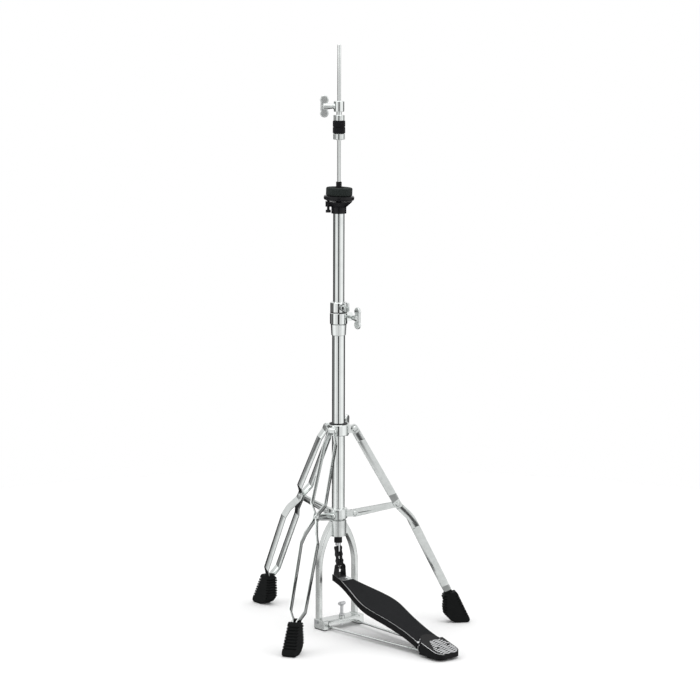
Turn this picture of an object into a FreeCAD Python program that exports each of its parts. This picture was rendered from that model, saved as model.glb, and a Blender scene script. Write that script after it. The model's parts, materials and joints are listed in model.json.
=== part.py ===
import FreeCAD, Part
import math
import os

# Hi-hat stand, without its cymbals.  Millimetres, +Z up.
# The origin is on the floor, in the middle of the stand's footprint.
# The pedal's heel points to -Y, and one of the three legs points to +Y.
# Every piece is drawn about the upright tubes' axis, and moved to its place when it is written.

V = FreeCAD.Vector
X_AXIS = V(1, 0, 0)
Y_AXIS = V(0, 1, 0)
Z_AXIS = V(0, 0, 1)

# ---------------------------------------------------------------- clearances
seat_gap = 0.05          # fixed pieces that fit inside one another, radial
running_gap = 0.06       # pins and sliding tubes, radial
side_gap = 0.3           # moving pieces side by side
plate_gap = 0.1          # flat plates that turn against each other

# ---------------------------------------------------------------- place of the tubes' axis
tube_axis_y = 37.7

# ---------------------------------------------------------------- upright tubes
lower_tube_r = 12.7
lower_tube_wall = 1.2
upper_tube_r = 11.1
upper_tube_wall = 1.2
hub_bottom_z = 183.0
hub_top_z = 216.0
lower_tube_top_z = 612.0
upper_tube_bottom_z = 405.0
upper_tube_top_z = 824.0
rod_guide_depth = 24.0

# ---------------------------------------------------------------- height clamp
clamp_wall = 4.3
clamp_skirt_top_wall = 2.7
clamp_skirt_bottom_wall = 0.9
clamp_above_tube = 15.2
clamp_shoulder_drop = 5.0
clamp_below_tube = 29.4
clamp_ear_length = 11.5
clamp_bolt_out = 3.5
clamp_r = lower_tube_r + clamp_wall
clamp_top_z = lower_tube_top_z + clamp_above_tube
clamp_skirt_top_z = lower_tube_top_z - clamp_shoulder_drop
clamp_bottom_z = lower_tube_top_z - clamp_below_tube
clamp_skirt_top_r = lower_tube_r + clamp_skirt_top_wall
clamp_skirt_bottom_r = lower_tube_r + clamp_skirt_bottom_wall
clamp_ear_reach = clamp_r + clamp_ear_length
clamp_bolt_x = clamp_r + clamp_bolt_out
clamp_ear_thickness = 7.0
clamp_ear_height = 16.0
clamp_slit = 2.4
bushing_flange_inset = 0.6
bushing_flange_r = clamp_r - bushing_flange_inset
bushing_flange_t = 1.8

# ---------------------------------------------------------------- memory lock
lock_wall = 5.2
lock_r = upper_tube_r + lock_wall
lock_height = 18.8
lock_ear_length = 5.2
lock_bolt_out = 0.3
lock_ear_reach = lock_r + lock_ear_length
lock_bolt_x = lock_r + lock_bolt_out
lock_ear_thickness = 6.0
lock_ear_deg = -80.0
lock_slit = 2.4

# ---------------------------------------------------------------- wing bolts
wing_span = 43.0
wing_lobe_r = 8.4
wing_thickness = 5.0
wing_hub_r = 5.6
wing_neck_in = 5.4
wing_neck_out = 8.4
wing_round = 1.7
bolt_r = 3.0

# ---------------------------------------------------------------- yoke and base
hub_wall = 3.3
hub_r = lower_tube_r + hub_wall
yoke_half_span = 45.0
yoke_arm_width = 8.0
yoke_arm_depth = 13.0
yoke_arm_y = 4.0
yoke_web_z = 183.0
yoke_round = 1.6
block_round = 1.0
shoulder_end_z = 118.0
block_front_y = -19.0
block_back_y = 13.0
block_half_width = 5.5
block_height = 20.0
pad_height = 2.0
base_plate_z = 19.0
base_plate_t = 3.0
base_plate_front_y = -20.0
base_plate_back_y = 11.0
base_lip_drop = 9.4
base_lip_r = 6.0
block_screw_r = 2.5
thumb_bolt_y = -12.0
thumb_bolt_top_z = 52.5
thumb_bolt_r = 2.9
thumb_bolt_half = 8.6

# ---------------------------------------------------------------- radius rods
rod_wire_r = 2.4
rod_wire_front = V(37.0, -19.0, 6.8)
rod_wire_back = V(20.0, -300.0, 10.0)

# ---------------------------------------------------------------- leg collar and legs
leg_angles = {"front_right": -30.0, "front_left": 210.0, "rear": 90.0}
leg_collar_wall = 7.3
leg_collar_r = lower_tube_r + leg_collar_wall
leg_collar_bottom_z = 384.9
leg_collar_height = 21.6
leg_pivot_out = 11.5
leg_pivot_r = leg_collar_r + leg_pivot_out
leg_pivot_z = 397.0
leg_rivet_r = 3.0
leg_foot_r = 218.2
leg_foot_z = 65.9
leg_bar_width = 15.0
leg_bar_t = 2.0
leg_lug_half = 4.9
leg_spread_upper = 13.0
leg_spread_lower = 16.0
leg_foot_half = 3.6
leg_kink = 9.5
leg_tail = 22.0

# ---------------------------------------------------------------- stay collar and stays
stay_collar_wall = 5.3
stay_collar_r = lower_tube_r + stay_collar_wall
stay_collar_bottom_z = 218.1
stay_collar_height = 20.1
stay_pivot_out = 14.7
stay_inner_r = stay_collar_r + stay_pivot_out
stay_inner_z = 227.5
stay_reach_on_leg = 177.0
stay_t = 3.0
stay_width_in = 16.0
stay_width_out = 12.0
stay_rivet_r = 2.5
stay_lug_t = 3.5

# ---------------------------------------------------------------- rubber feet
foot_top_width = 21.0
foot_bottom_width = 26.5
foot_round = 1.6
foot_collar_half = 8.0
foot_collar_drop = 1.2
foot_collar_in = 4.2
foot_collar_out = 6.3
foot_collar_depth = 9.0
foot_skirt_z = 14.0

# ---------------------------------------------------------------- pull rod
rod_r = 3.5
rod_top_z = 1148.0
rod_joint_z = 560.0
clevis_top_z = 168.8
clevis_r = 5.6
clevis_neck_z = 163.5
tongue_t = 3.0
tongue_w = 7.5
bumper_r = 7.9
bumper_bottom_z = 169.1
bumper_top_z = 181.6
spring_bottom_z = 196.0
spring_top_z = 330.0
spring_r = 7.4
spring_wire_r = 0.9
spring_turns = 22

# ---------------------------------------------------------------- chain
rod_pin_z = 157.6
chain_pitch = 12.7
chain_links = 3
chain_pin_r = 1.6
chain_plate_t = 0.95
chain_plate_r = 4.3
chain_roller_r = 3.3
chain_half_width = 7.2
chain_swing_y = -6.2

# ---------------------------------------------------------------- footboard
board_toe_y = 3.6
board_toe_z = 105.8
board_heel_y = -278.5
board_heel_z = 25.5
board_bulge = 3.0
board_flange = 13.0
board_t = 2.6
board_wall = 2.4
toe_half = 11.9
board_shape = [(-45.0, 19.2), (-88.0, 32.0), (-134.0, 40.5), (-176.0, 34.2), (-218.0, 28.3)]
heel_half = 29.0
mat_t = 1.2
mat_inset = 2.2
mat_front_y = -30.0
mat_back_y = -272.0

# ---------------------------------------------------------------- heel
heel_pivot_y = -286.0
heel_pivot_z = 15.5
heel_pin_r = 2.5
heel_end_y = -340.0
heel_bottom_z = 4.6
heel_front_top_z = 28.6
heel_end_top_z = 13.4
heel_half_width = 29.0
heel_corner_r = 17.0
heel_lip_r = 22.0
heel_lip_t = 2.2
barrel_r = 5.5
barrel_half = 17.0

# ---------------------------------------------------------------- cymbal seat
seat_body_r = 14.6
seat_socket_depth = 2.2
seat_cone_rise = 9.6
seat_cone_height = 10.5
seat_rim_height = 1.2
seat_body_bottom_z = upper_tube_top_z - seat_socket_depth
seat_cone_bottom_z = upper_tube_top_z + seat_cone_rise
seat_cone_top_z = seat_cone_bottom_z + seat_cone_height
seat_body_top_z = seat_cone_top_z + seat_rim_height
tilt_ear_height = 10.4
ear_bottom_z = seat_body_top_z - tilt_ear_height
seat_cone_r = 26.0
seat_cup_r = 29.6
seat_cup_gap = 2.1
seat_cup_height = 9.0
seat_cup_bottom_z = seat_body_top_z + seat_cup_gap
seat_cup_top_z = seat_cup_bottom_z + seat_cup_height
seat_felt_r = 25.8
seat_felt_t = 15.6
seat_sleeve_r = 5.5
seat_sleeve_height = 38.0
seat_sleeve_top_z = seat_body_top_z + seat_sleeve_height
seat_spigot_r = 4.7
seat_spigot_length = 6.0
seat_hole_r = 8.8
tilt_deg = 141.1
tilt_screw_at = 20.5
tilt_screw_r = 2.6
tilt_head_r = 5.0
tilt_head_height = 5.0
tilt_head_rise = -0.6
tilt_head_z = upper_tube_top_z + tilt_head_rise
fulcrum_r = 1.6
seat_rest_tilt = 2.0

# ---------------------------------------------------------------- clutch
clutch_r = 10.0
clutch_top_z = 1039.4
clutch_bottom_z = 1018.8
clutch_tube_r = 5.0
clutch_nut_r = 10.8
clutch_nut_top_z = 1012.6
clutch_felt_top_z = 1001.7
clutch_felt_bottom_z = 977.0
clutch_felt_r = 12.2
clutch_lower_nut_r = 11.4
clutch_lower_nut_z = 965.3
clutch_wing_z = 1029.0
clutch_wing_deg = 141.1


# ================================================================ helpers
def rod(radius, start, length, axis=Z_AXIS):
    return Part.makeCylinder(radius, length, start, axis)


def ring(outer, inner, bottom_z, height):
    solid = rod(outer, V(0, 0, bottom_z), height)
    return solid.cut(rod(inner, V(0, 0, bottom_z - 1), height + 2))


def block(x0, x1, y0, y1, z0, z1):
    return Part.makeBox(x1 - x0, y1 - y0, z1 - z0, V(x0, y0, z0))


def prism(points, along):
    outline = Part.makePolygon(points + [points[0]])
    return Part.Face(outline).extrude(along)


def turned(shape, degrees, lift=0.0):
    copy = shape.copy()
    copy.rotate(V(0, 0, 0), Z_AXIS, degrees)
    copy.translate(V(0, 0, lift))
    return copy


def join(first, *others):
    return first.fuse(list(others)).removeSplitter()


def rounded(shape, radius, keep):
    """Fillet the edges whose middle point passes keep."""
    edges = [e for e in shape.Edges if keep(e.valueAt((e.FirstParameter + e.LastParameter) / 2))]
    return shape.makeFillet(radius, edges)


def chamfered(shape, size, keep):
    edges = [e for e in shape.Edges if keep(e.valueAt((e.FirstParameter + e.LastParameter) / 2))]
    return shape.makeChamfer(size, edges)


def revolve(profile):
    """Turn a closed (radius, z) outline about the Z axis."""
    points = [V(r, 0, z) for r, z in profile]
    face = Part.Face(Part.makePolygon(points + [points[0]]))
    return face.revolve(V(0, 0, 0), Z_AXIS, 360)


def corner_arc(before, corner, after, radius):
    """The two tangent points and the middle of the arc that rounds a corner."""
    to_before = (before - corner).normalize()
    to_after = (after - corner).normalize()
    half = to_before.getAngle(to_after) / 2
    reach = radius / math.tan(half)
    middle = (to_before + to_after).normalize()
    bulge = radius / math.sin(half) - radius
    return corner + to_before * reach, corner + middle * bulge, corner + to_after * reach


def offset_line(points, distance):
    """Offset an open 2-D polyline sideways, with mitred corners."""
    shifted = []
    for i, (x, y) in enumerate(points):
        normals = []
        for a, b in ((i - 1, i), (i, i + 1)):
            if a >= 0 and b < len(points):
                dx = points[b][0] - points[a][0]
                dy = points[b][1] - points[a][1]
                size = math.hypot(dx, dy)
                normals.append((-dy / size, dx / size))
        nx = sum(n[0] for n in normals) / len(normals)
        ny = sum(n[1] for n in normals) / len(normals)
        scale = distance / (nx * nx + ny * ny)
        shifted.append((x + nx * scale, y + ny * scale))
    return shifted


def band(points, width, bend_r, to_space, along):
    """A bent strip: a rounded polyline of constant width, extruded."""
    sides = []
    for sign in (1, -1):
        line = [to_space(a, b) for a, b in offset_line(points, sign * width / 2)]
        edges = []
        start = line[0]
        for i in range(1, len(line) - 1):
            turn = (line[i] - line[i - 1]).cross(line[i + 1] - line[i])
            outward = (to_space(0, 0) - to_space(1, 0)).cross(to_space(0, 1) - to_space(0, 0))
            left_turn = turn.dot(outward) < 0
            radius = bend_r + width / 2 if left_turn == (sign < 0) else bend_r - width / 2
            first, middle, last = corner_arc(line[i - 1], line[i], line[i + 1], radius)
            edges.append(Part.LineSegment(start, first).toShape())
            edges.append(Part.Arc(first, middle, last).toShape())
            start = last
        edges.append(Part.LineSegment(start, line[-1]).toShape())
        sides.append((line, edges))
    (left, left_edges), (right, right_edges) = sides
    caps = [Part.LineSegment(left[0], right[0]).toShape(), Part.LineSegment(left[-1], right[-1]).toShape()]
    wire = Part.Wire(Part.__sortEdges__(left_edges + right_edges + caps))
    return Part.Face(wire).extrude(along)


def wing_bolt(shaft_from, wing_from):
    """A wing bolt along +X from the origin, its wings standing in the XZ plane."""
    lobe_z = wing_span / 2 - wing_lobe_r
    wing_x = wing_from + wing_lobe_r
    half = wing_thickness / 2
    shaft = rod(bolt_r, V(shaft_from, 0, 0), wing_from - shaft_from, X_AXIS)
    hub = Part.makeCone(wing_hub_r - 1.2, wing_hub_r, 7.0, V(wing_from - 7.0, 0, 0), X_AXIS)
    cap_length = wing_lobe_r + 3.0
    cap = rod(wing_hub_r, V(wing_from, 0, 0), cap_length, X_AXIS)
    cap = rounded(cap, wing_round, lambda p: p.x > wing_from + cap_length - 0.1)
    pieces = [hub, cap]
    for sign in (1, -1):
        lobe = rod(wing_lobe_r, V(wing_x + 1.0, -half, sign * lobe_z), wing_thickness, Y_AXIS)
        pieces.append(rounded(lobe, wing_round, lambda p: abs(p.y) > half - 0.1))
        low = min(0, sign * lobe_z)
        neck = Part.makeBox(wing_neck_in + wing_neck_out, wing_thickness, lobe_z,
                            V(wing_x - wing_neck_in, -half, low))
        pieces.append(rounded(neck, wing_round, lambda p: abs(p.y) > half - 0.1 and abs(p.z) > 0.1
                              and abs(p.z) < lobe_z - 0.1))
    return join(shaft, *pieces)


parts = {}

# ================================================================ upright tubes
parts["lower_tube"] = ring(lower_tube_r, lower_tube_r - lower_tube_wall,
                           hub_bottom_z, lower_tube_top_z - hub_bottom_z)
parts["upper_tube"] = ring(upper_tube_r, upper_tube_r - upper_tube_wall,
                           upper_tube_bottom_z, upper_tube_top_z - upper_tube_bottom_z)


# ================================================================ height clamp
def split_clamp(body, ear_deg, inner_r, reach, bolt_x, thickness, slit, z0, z1):
    """Add two ears and a slit to a clamp body; the bolt crosses the ears."""
    middle_z = (z0 + z1) / 2
    half = thickness + slit / 2
    lug = block(inner_r, reach, -half, half, z0, z1)
    lug = rounded(lug, 2.5, lambda p: p.x > reach - 0.1 and (p.z < z0 + 0.1 or p.z > z1 - 0.1))
    gap = block(0, reach + 5, -slit / 2, slit / 2, z0 - 40, z1 + 40)
    hole = rod(bolt_r + running_gap, V(bolt_x, -half - 1, middle_z), 2 * half + 2, Y_AXIS)
    tool = [turned(s, ear_deg) for s in (lug, gap, hole)]
    bore = rod(inner_r, V(0, 0, z0 - 40), z1 - z0 + 80)
    return body.fuse(tool[0]).cut([tool[1], tool[2], bore]).removeSplitter()


clamp_body = revolve([
    (lower_tube_r + seat_gap, clamp_bottom_z),
    (clamp_skirt_bottom_r, clamp_bottom_z),
    (clamp_skirt_bottom_r + 0.6, clamp_bottom_z + 1.2),
    (clamp_skirt_top_r, clamp_skirt_top_z - 3.0),
    (clamp_r, clamp_skirt_top_z - 1.0),
    (clamp_r, clamp_top_z - 0.8),
    (clamp_r - 0.8, clamp_top_z),
    (lower_tube_r + seat_gap, clamp_top_z),
])
clamp_bolt_z = clamp_top_z - 1.5 - clamp_ear_height / 2
parts["height_clamp"] = split_clamp(clamp_body, 0.0, lower_tube_r + seat_gap, clamp_ear_reach,
                                    clamp_bolt_x, clamp_ear_thickness, clamp_slit,
                                    clamp_bolt_z - clamp_ear_height / 2, clamp_bolt_z + clamp_ear_height / 2)
parts["clamp_bushing"] = join(
    ring(lower_tube_r, upper_tube_r + running_gap, lower_tube_top_z + 0.2,
         clamp_top_z - lower_tube_top_z - 0.2),
    ring(bushing_flange_r, upper_tube_r + running_gap, clamp_top_z, bushing_flange_t),
)
clamp_ear_face = clamp_ear_thickness + clamp_slit / 2


def clamp_bolt_place(shape, x, z):
    """Stand a bolt modelled along +X at a clamp's ears, pointing to -Y."""
    copy = turned(shape, -90.0)
    copy.translate(V(x, 0, z))
    return copy


parts["clamp_wing_bolt"] = clamp_bolt_place(
    wing_bolt(-clamp_ear_face - 1.0, clamp_ear_face + 15.8), clamp_bolt_x, clamp_bolt_z)

# ================================================================ memory lock
lock_bottom_z = clamp_top_z + bushing_flange_t + 0.2
lock_top_z = lock_bottom_z + lock_height
lock_body = revolve([
    (upper_tube_r + seat_gap, lock_bottom_z),
    (lock_r, lock_bottom_z),
    (lock_r, lock_top_z - 0.8),
    (lock_r - 0.8, lock_top_z),
    (upper_tube_r + seat_gap, lock_top_z),
])
memory_lock = split_clamp(lock_body, lock_ear_deg, upper_tube_r + seat_gap, lock_ear_reach,
                          lock_bolt_x, lock_ear_thickness, lock_slit,
                          lock_bottom_z + 0.4, lock_top_z - 0.6)
lock_bolt_z = (lock_bottom_z + lock_top_z) / 2
lock_ear_face = lock_ear_thickness + lock_slit / 2
lock_head_r = 5.6
spot_faces = [rod(lock_head_r + side_gap, V(lock_bolt_x, lock_ear_face, 0), 20.0, Y_AXIS),
              rod(lock_head_r + side_gap, V(lock_bolt_x, -lock_ear_face - 20.0, 0), 20.0, Y_AXIS),
              rod(bolt_r + running_gap, V(lock_bolt_x, -lock_ear_face - 20.0, 0), 2 * lock_ear_face + 40.0, Y_AXIS)]
parts["memory_lock"] = memory_lock.cut([turned(face, lock_ear_deg, lock_bolt_z) for face in spot_faces])
lock_bolt = join(
    rod(bolt_r, V(lock_bolt_x, -lock_ear_face - 2.0, 0), 2 * lock_ear_face + 4.0, Y_AXIS),
    rod(lock_head_r, V(lock_bolt_x, -lock_ear_face - 2.6, 0), 2.5, Y_AXIS),
    block(lock_bolt_x - 2.8, lock_bolt_x + 2.8, -lock_ear_face - 8.6, -lock_ear_face - 2.0, -2.8, 2.8),
)
parts["memory_lock_bolt"] = turned(lock_bolt, lock_ear_deg, lock_bolt_z)

# ================================================================ yoke
hub = chamfered(rod(hub_r, V(0, 0, hub_bottom_z), hub_top_z - hub_bottom_z), yoke_round, lambda p: p.z > hub_top_z - 0.1)
arm_front_y = yoke_arm_y - yoke_arm_depth / 2
arm_outer_x = yoke_half_span + yoke_arm_width / 2
arm_inner_x = yoke_half_span - yoke_arm_width / 2


def yoke_half(side):
    def at(x, z):
        return V(side * x, arm_front_y, z)
    edges = [
        Part.LineSegment(at(0, hub_top_z - 2), at(14.0, hub_top_z - 2)).toShape(),
        Part.Arc(at(14.0, hub_top_z - 2), at(38.0, 175.0), at(arm_outer_x, shoulder_end_z)).toShape(),
        Part.LineSegment(at(arm_outer_x, shoulder_end_z), at(arm_outer_x, block_height / 2)).toShape(),
        Part.LineSegment(at(arm_outer_x, block_height / 2), at(arm_inner_x, block_height / 2)).toShape(),
        Part.LineSegment(at(arm_inner_x, block_height / 2), at(arm_inner_x, shoulder_end_z)).toShape(),
        Part.Arc(at(arm_inner_x, shoulder_end_z), at(34.0, 158.0), at(21.0, yoke_web_z + 1)).toShape(),
        Part.LineSegment(at(21.0, yoke_web_z + 1), at(0, yoke_web_z + 1)).toShape(),
        Part.LineSegment(at(0, yoke_web_z + 1), at(0, hub_top_z - 2)).toShape(),
    ]
    arm = Part.Face(Part.Wire(edges)).extrude(V(0, yoke_arm_depth, 0))
    arm = rounded(arm, yoke_round, lambda p: abs(p.x) > 1 and p.z > block_height / 2 + 1
                  and (p.y < arm_front_y + 0.1 or p.y > arm_front_y + yoke_arm_depth - 0.1))
    x0 = yoke_half_span - block_half_width
    x1 = yoke_half_span + block_half_width
    foot = block(x0, x1, block_front_y, block_back_y, pad_height, block_height)
    foot = rounded(foot, block_round, lambda p: p.z > pad_height + 0.1)
    if side < 0:
        foot = foot.mirror(V(0, 0, 0), X_AXIS)
    return join(arm, foot)


yoke = join(hub, yoke_half(1), yoke_half(-1))
yoke = yoke.cut(rod(lower_tube_r + seat_gap, V(0, 0, hub_bottom_z - 1), hub_top_z - hub_bottom_z + 2))
screw_y = yoke_arm_y
screw_z = 14.0
wire_run = (rod_wire_back - rod_wire_front)
wire_axis = V(wire_run.x, wire_run.y, wire_run.z).normalize()
cutters = []
for side in (1, -1):
    start = V(side * rod_wire_front.x, rod_wire_front.y, rod_wire_front.z)
    axis = V(side * wire_axis.x, wire_axis.y, wire_axis.z)
    cutters.append(rod(rod_wire_r + seat_gap, start - axis * 24.0, 30.0, axis))
    screw_start = V(side * (yoke_half_span + block_half_width + 1), screw_y, screw_z)
    cutters.append(rod(block_screw_r + seat_gap, screw_start, 12.0, V(-side, 0, 0)))
parts["yoke"] = yoke.cut(cutters).removeSplitter()

screws = []
for side in (1, -1):
    face_x = yoke_half_span + block_half_width
    shank = rod(block_screw_r, V(side * face_x, screw_y, screw_z), 10.0, V(-side, 0, 0))
    head = rod(4.2, V(side * (face_x + 0.05), screw_y, screw_z), 2.4, V(side, 0, 0))
    slot = block(-6, 6, screw_y - 0.6, screw_y + 0.6, screw_z - 6, screw_z + 6)
    slot.translate(V(side * (face_x + 7.6), 0, 0))
    screws.append(join(shank, head).cut(slot))
parts["yoke_foot_screws"] = Part.makeCompound(screws)

pads = []
for side in (1, -1):
    x0 = side * yoke_half_span - block_half_width + 0.8
    x1 = side * yoke_half_span + block_half_width - 0.8
    pads.append(block(x0, x1, block_front_y + 1.0, block_back_y - 1.0, 0.0, pad_height))

# ================================================================ base plate
plate_half = yoke_half_span - block_half_width - 0.1


def at_plate(y, z):
    return V(-plate_half, y, z)


lip_y = base_plate_front_y + base_lip_r
plate_low = base_plate_z - base_plate_t
diag = math.sqrt(0.5)
outer_mid = at_plate(lip_y - base_lip_r * diag, base_plate_z - base_lip_r + base_lip_r * diag)
inner_r = base_lip_r - base_plate_t
inner_mid = at_plate(lip_y - inner_r * diag, base_plate_z - base_lip_r + inner_r * diag)
plate_edges = [
    Part.LineSegment(at_plate(base_plate_back_y, plate_low), at_plate(base_plate_back_y, base_plate_z)).toShape(),
    Part.LineSegment(at_plate(base_plate_back_y, base_plate_z), at_plate(lip_y, base_plate_z)).toShape(),
    Part.Arc(at_plate(lip_y, base_plate_z), outer_mid,
             at_plate(base_plate_front_y, base_plate_z - base_lip_r)).toShape(),
    Part.LineSegment(at_plate(base_plate_front_y, base_plate_z - base_lip_r),
                     at_plate(base_plate_front_y, base_plate_z - base_lip_drop)).toShape(),
    Part.LineSegment(at_plate(base_plate_front_y, base_plate_z - base_lip_drop),
                     at_plate(base_plate_front_y + base_plate_t, base_plate_z - base_lip_drop)).toShape(),
    Part.LineSegment(at_plate(base_plate_front_y + base_plate_t, base_plate_z - base_lip_drop),
                     at_plate(base_plate_front_y + base_plate_t, base_plate_z - base_lip_r)).toShape(),
    Part.Arc(at_plate(base_plate_front_y + base_plate_t, base_plate_z - base_lip_r), inner_mid,
             at_plate(lip_y, plate_low)).toShape(),
    Part.LineSegment(at_plate(lip_y, plate_low), at_plate(base_plate_back_y, plate_low)).toShape(),
]
plate = Part.Face(Part.Wire(plate_edges)).extrude(V(2 * plate_half, 0, 0))
bolt_boss = rod(6.0, V(0, thumb_bolt_y, base_plate_z - 8.0), 13.0)
plate = join(plate, bolt_boss)
plate = plate.cut(rod(thumb_bolt_r + running_gap, V(0, thumb_bolt_y, 0), 60.0))
parts["base_plate"] = plate

thumb = rod(thumb_bolt_r, V(0, thumb_bolt_y, 5.0), thumb_bolt_top_z - 9.5)
bar = rod(3.6, V(-thumb_bolt_half + 3.6, thumb_bolt_y, thumb_bolt_top_z - 4.5), 2 * thumb_bolt_half - 7.2, X_AXIS)
ends = [Part.makeSphere(3.6, V(s * (thumb_bolt_half - 3.6), thumb_bolt_y, thumb_bolt_top_z - 4.5)) for s in (1, -1)]
neck = Part.makeCone(thumb_bolt_r, 4.4, 5.0, V(0, thumb_bolt_y, thumb_bolt_top_z - 11.0), Z_AXIS)
lock_nut = rod(4.9, V(0, thumb_bolt_y, base_plate_z + 5.3), 3.6)
parts["thumb_bolt"] = join(thumb, bar, ends[0], ends[1], neck, lock_nut)

# ================================================================ radius rods
wires = []
for side in (1, -1):
    start = V(side * rod_wire_front.x, rod_wire_front.y, rod_wire_front.z)
    axis = V(side * wire_axis.x, wire_axis.y, wire_axis.z)
    wires.append(rod(rod_wire_r, start - axis * 14.0, wire_run.Length + 14.0, axis))
parts["radius_rods"] = Part.makeCompound(wires)

# ================================================================ heel plate
heel_slope = (heel_front_top_z - heel_end_top_z) / (heel_pivot_y - heel_end_y)
heel_front_y = heel_pivot_y + 6.5
lip_centre_y = heel_pivot_y + 1.0


def heel_top(y):
    return heel_end_top_z + heel_slope * (y - heel_end_y)


heel_plan = block(-heel_half_width, heel_half_width, heel_end_y, heel_front_y, 0, 80)
heel_plan = rounded(heel_plan, heel_corner_r, lambda p: p.y < heel_end_y + 1 and 1 < p.z < 79)
lip_reach_y = lip_centre_y + heel_lip_r
wedge_points = [
    V(-60, heel_end_y - 1, heel_bottom_z),
    V(-60, heel_front_y, heel_bottom_z),
    V(-60, heel_front_y, heel_top(heel_front_y)),
    V(-60, heel_end_y - 1, heel_top(heel_end_y - 1)),
]
heel_body = heel_plan.common(prism(wedge_points, V(120, 0, 0)))
lip_points = [
    V(-60, heel_pivot_y - 8.0, heel_top(heel_pivot_y - 8.0)),
    V(-60, lip_reach_y, heel_top(lip_reach_y)),
    V(-60, lip_reach_y, heel_top(lip_reach_y) - heel_lip_t),
    V(-60, heel_pivot_y - 8.0, heel_top(heel_pivot_y - 8.0) - heel_lip_t),
]
heel_lip = rod(heel_lip_r, V(0, lip_centre_y, 0), 80).common(prism(lip_points, V(120, 0, 0)))
barrel_room_r = barrel_r + 1.2
barrel_half_room = barrel_half + 1.0
room = rod(barrel_room_r, V(-barrel_half_room, heel_pivot_y, heel_pivot_z), 2 * barrel_half_room, X_AXIS)
room_front = block(-barrel_half_room, barrel_half_room, heel_pivot_y, heel_front_y + 5,
                   heel_pivot_z - barrel_room_r, heel_pivot_z + barrel_room_r)
under_lip = prism([
    V(-barrel_half_room, heel_pivot_y - 3.0, heel_pivot_z),
    V(-barrel_half_room, heel_front_y + 5, heel_pivot_z),
    V(-barrel_half_room, heel_front_y + 5, heel_top(heel_front_y + 5) - heel_lip_t),
    V(-barrel_half_room, heel_pivot_y - 3.0, heel_top(heel_pivot_y - 3.0) - heel_lip_t),
], V(2 * barrel_half_room, 0, 0))
ear_round = rod(7.0, V(-60, heel_pivot_y, heel_pivot_z), 120, X_AXIS)
ear_trim = block(-60, 60, heel_pivot_y, heel_front_y + 5, -5, 80)
ear_keep = ear_round.fuse(block(-60, 60, heel_pivot_y - 1, heel_pivot_y + 3.5, -5, 80))
ear_trim = ear_trim.cut(ear_keep)
heel = heel_body.cut([room, room_front, under_lip]).cut(ear_trim).fuse(heel_lip)
heel = heel.cut(rod(heel_pin_r + seat_gap, V(-60, heel_pivot_y, heel_pivot_z), 120, X_AXIS))
heel = heel.cut([rod(rod_wire_r + seat_gap, V(s * rod_wire_front.x, rod_wire_front.y, rod_wire_front.z),
                     wire_run.Length, V(s * wire_axis.x, wire_axis.y, wire_axis.z)) for s in (1, -1)])
parts["heel_plate"] = heel.removeSplitter()
parts["heel_pin"] = rod(heel_pin_r, V(-heel_half_width + 1.0, heel_pivot_y, heel_pivot_z),
                        2 * heel_half_width - 2.0, X_AXIS)
heel_pad = block(-heel_half_width + 8, heel_half_width - 8, heel_end_y + 11, heel_pivot_y - 10, 0.0, heel_bottom_z)
heel_pad = rounded(heel_pad, 10.0, lambda p: p.y < heel_end_y + 12 and 0.2 < p.z < heel_bottom_z - 0.2)
parts["floor_pads"] = Part.makeCompound(pads + [heel_pad])

# ================================================================ footboard
board_slope = (board_toe_z - board_heel_z) / (board_toe_y - board_heel_y)
board_mid_y = (board_toe_y + board_heel_y) / 2
board_mid_z = (board_toe_z + board_heel_z) / 2 + board_bulge


def board_slab(top_shift, bottom_shift, y0, y1):
    """The space between two copies of the board's crowned long profile."""
    def curve(shift):
        a = V(-60, board_heel_y, board_heel_z + shift)
        b = V(-60, board_mid_y, board_mid_z + shift)
        c = V(-60, board_toe_y, board_toe_z + shift)
        return Part.Arc(a, b, c).toShape(), a, c
    top, top_a, top_c = curve(top_shift)
    low, low_a, low_c = curve(bottom_shift)
    sides = [Part.LineSegment(top_a, low_a).toShape(), Part.LineSegment(top_c, low_c).toShape()]
    face = Part.Face(Part.Wire(Part.__sortEdges__([top, low] + sides)))
    return face.extrude(V(120, 0, 0)).common(block(-60, 60, y0, y1, -50, 200))


def board_outline(inset, front_y, back_y, height=200.0):
    """A vertical prism with the board's plan outline, pulled in by inset."""
    shape_points = [(board_toe_y, toe_half)] + board_shape + [(board_heel_y, heel_half)]
    curves = []
    for side in (1, -1):
        line = Part.BSplineCurve()
        line.interpolate([V(side * (half - inset), y, 0) for y, half in shape_points])
        curves.append(line.toShape())
    ends = []
    for y, half in (shape_points[0], shape_points[-1]):
        ends.append(Part.LineSegment(V(-(half - inset), y, 0), V(half - inset, y, 0)).toShape())
    wire = Part.Wire(Part.__sortEdges__(curves + ends))
    solid = Part.Face(wire).extrude(V(0, 0, height))
    return solid.common(block(-60, 60, back_y, front_y, -1, height + 1))


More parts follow.
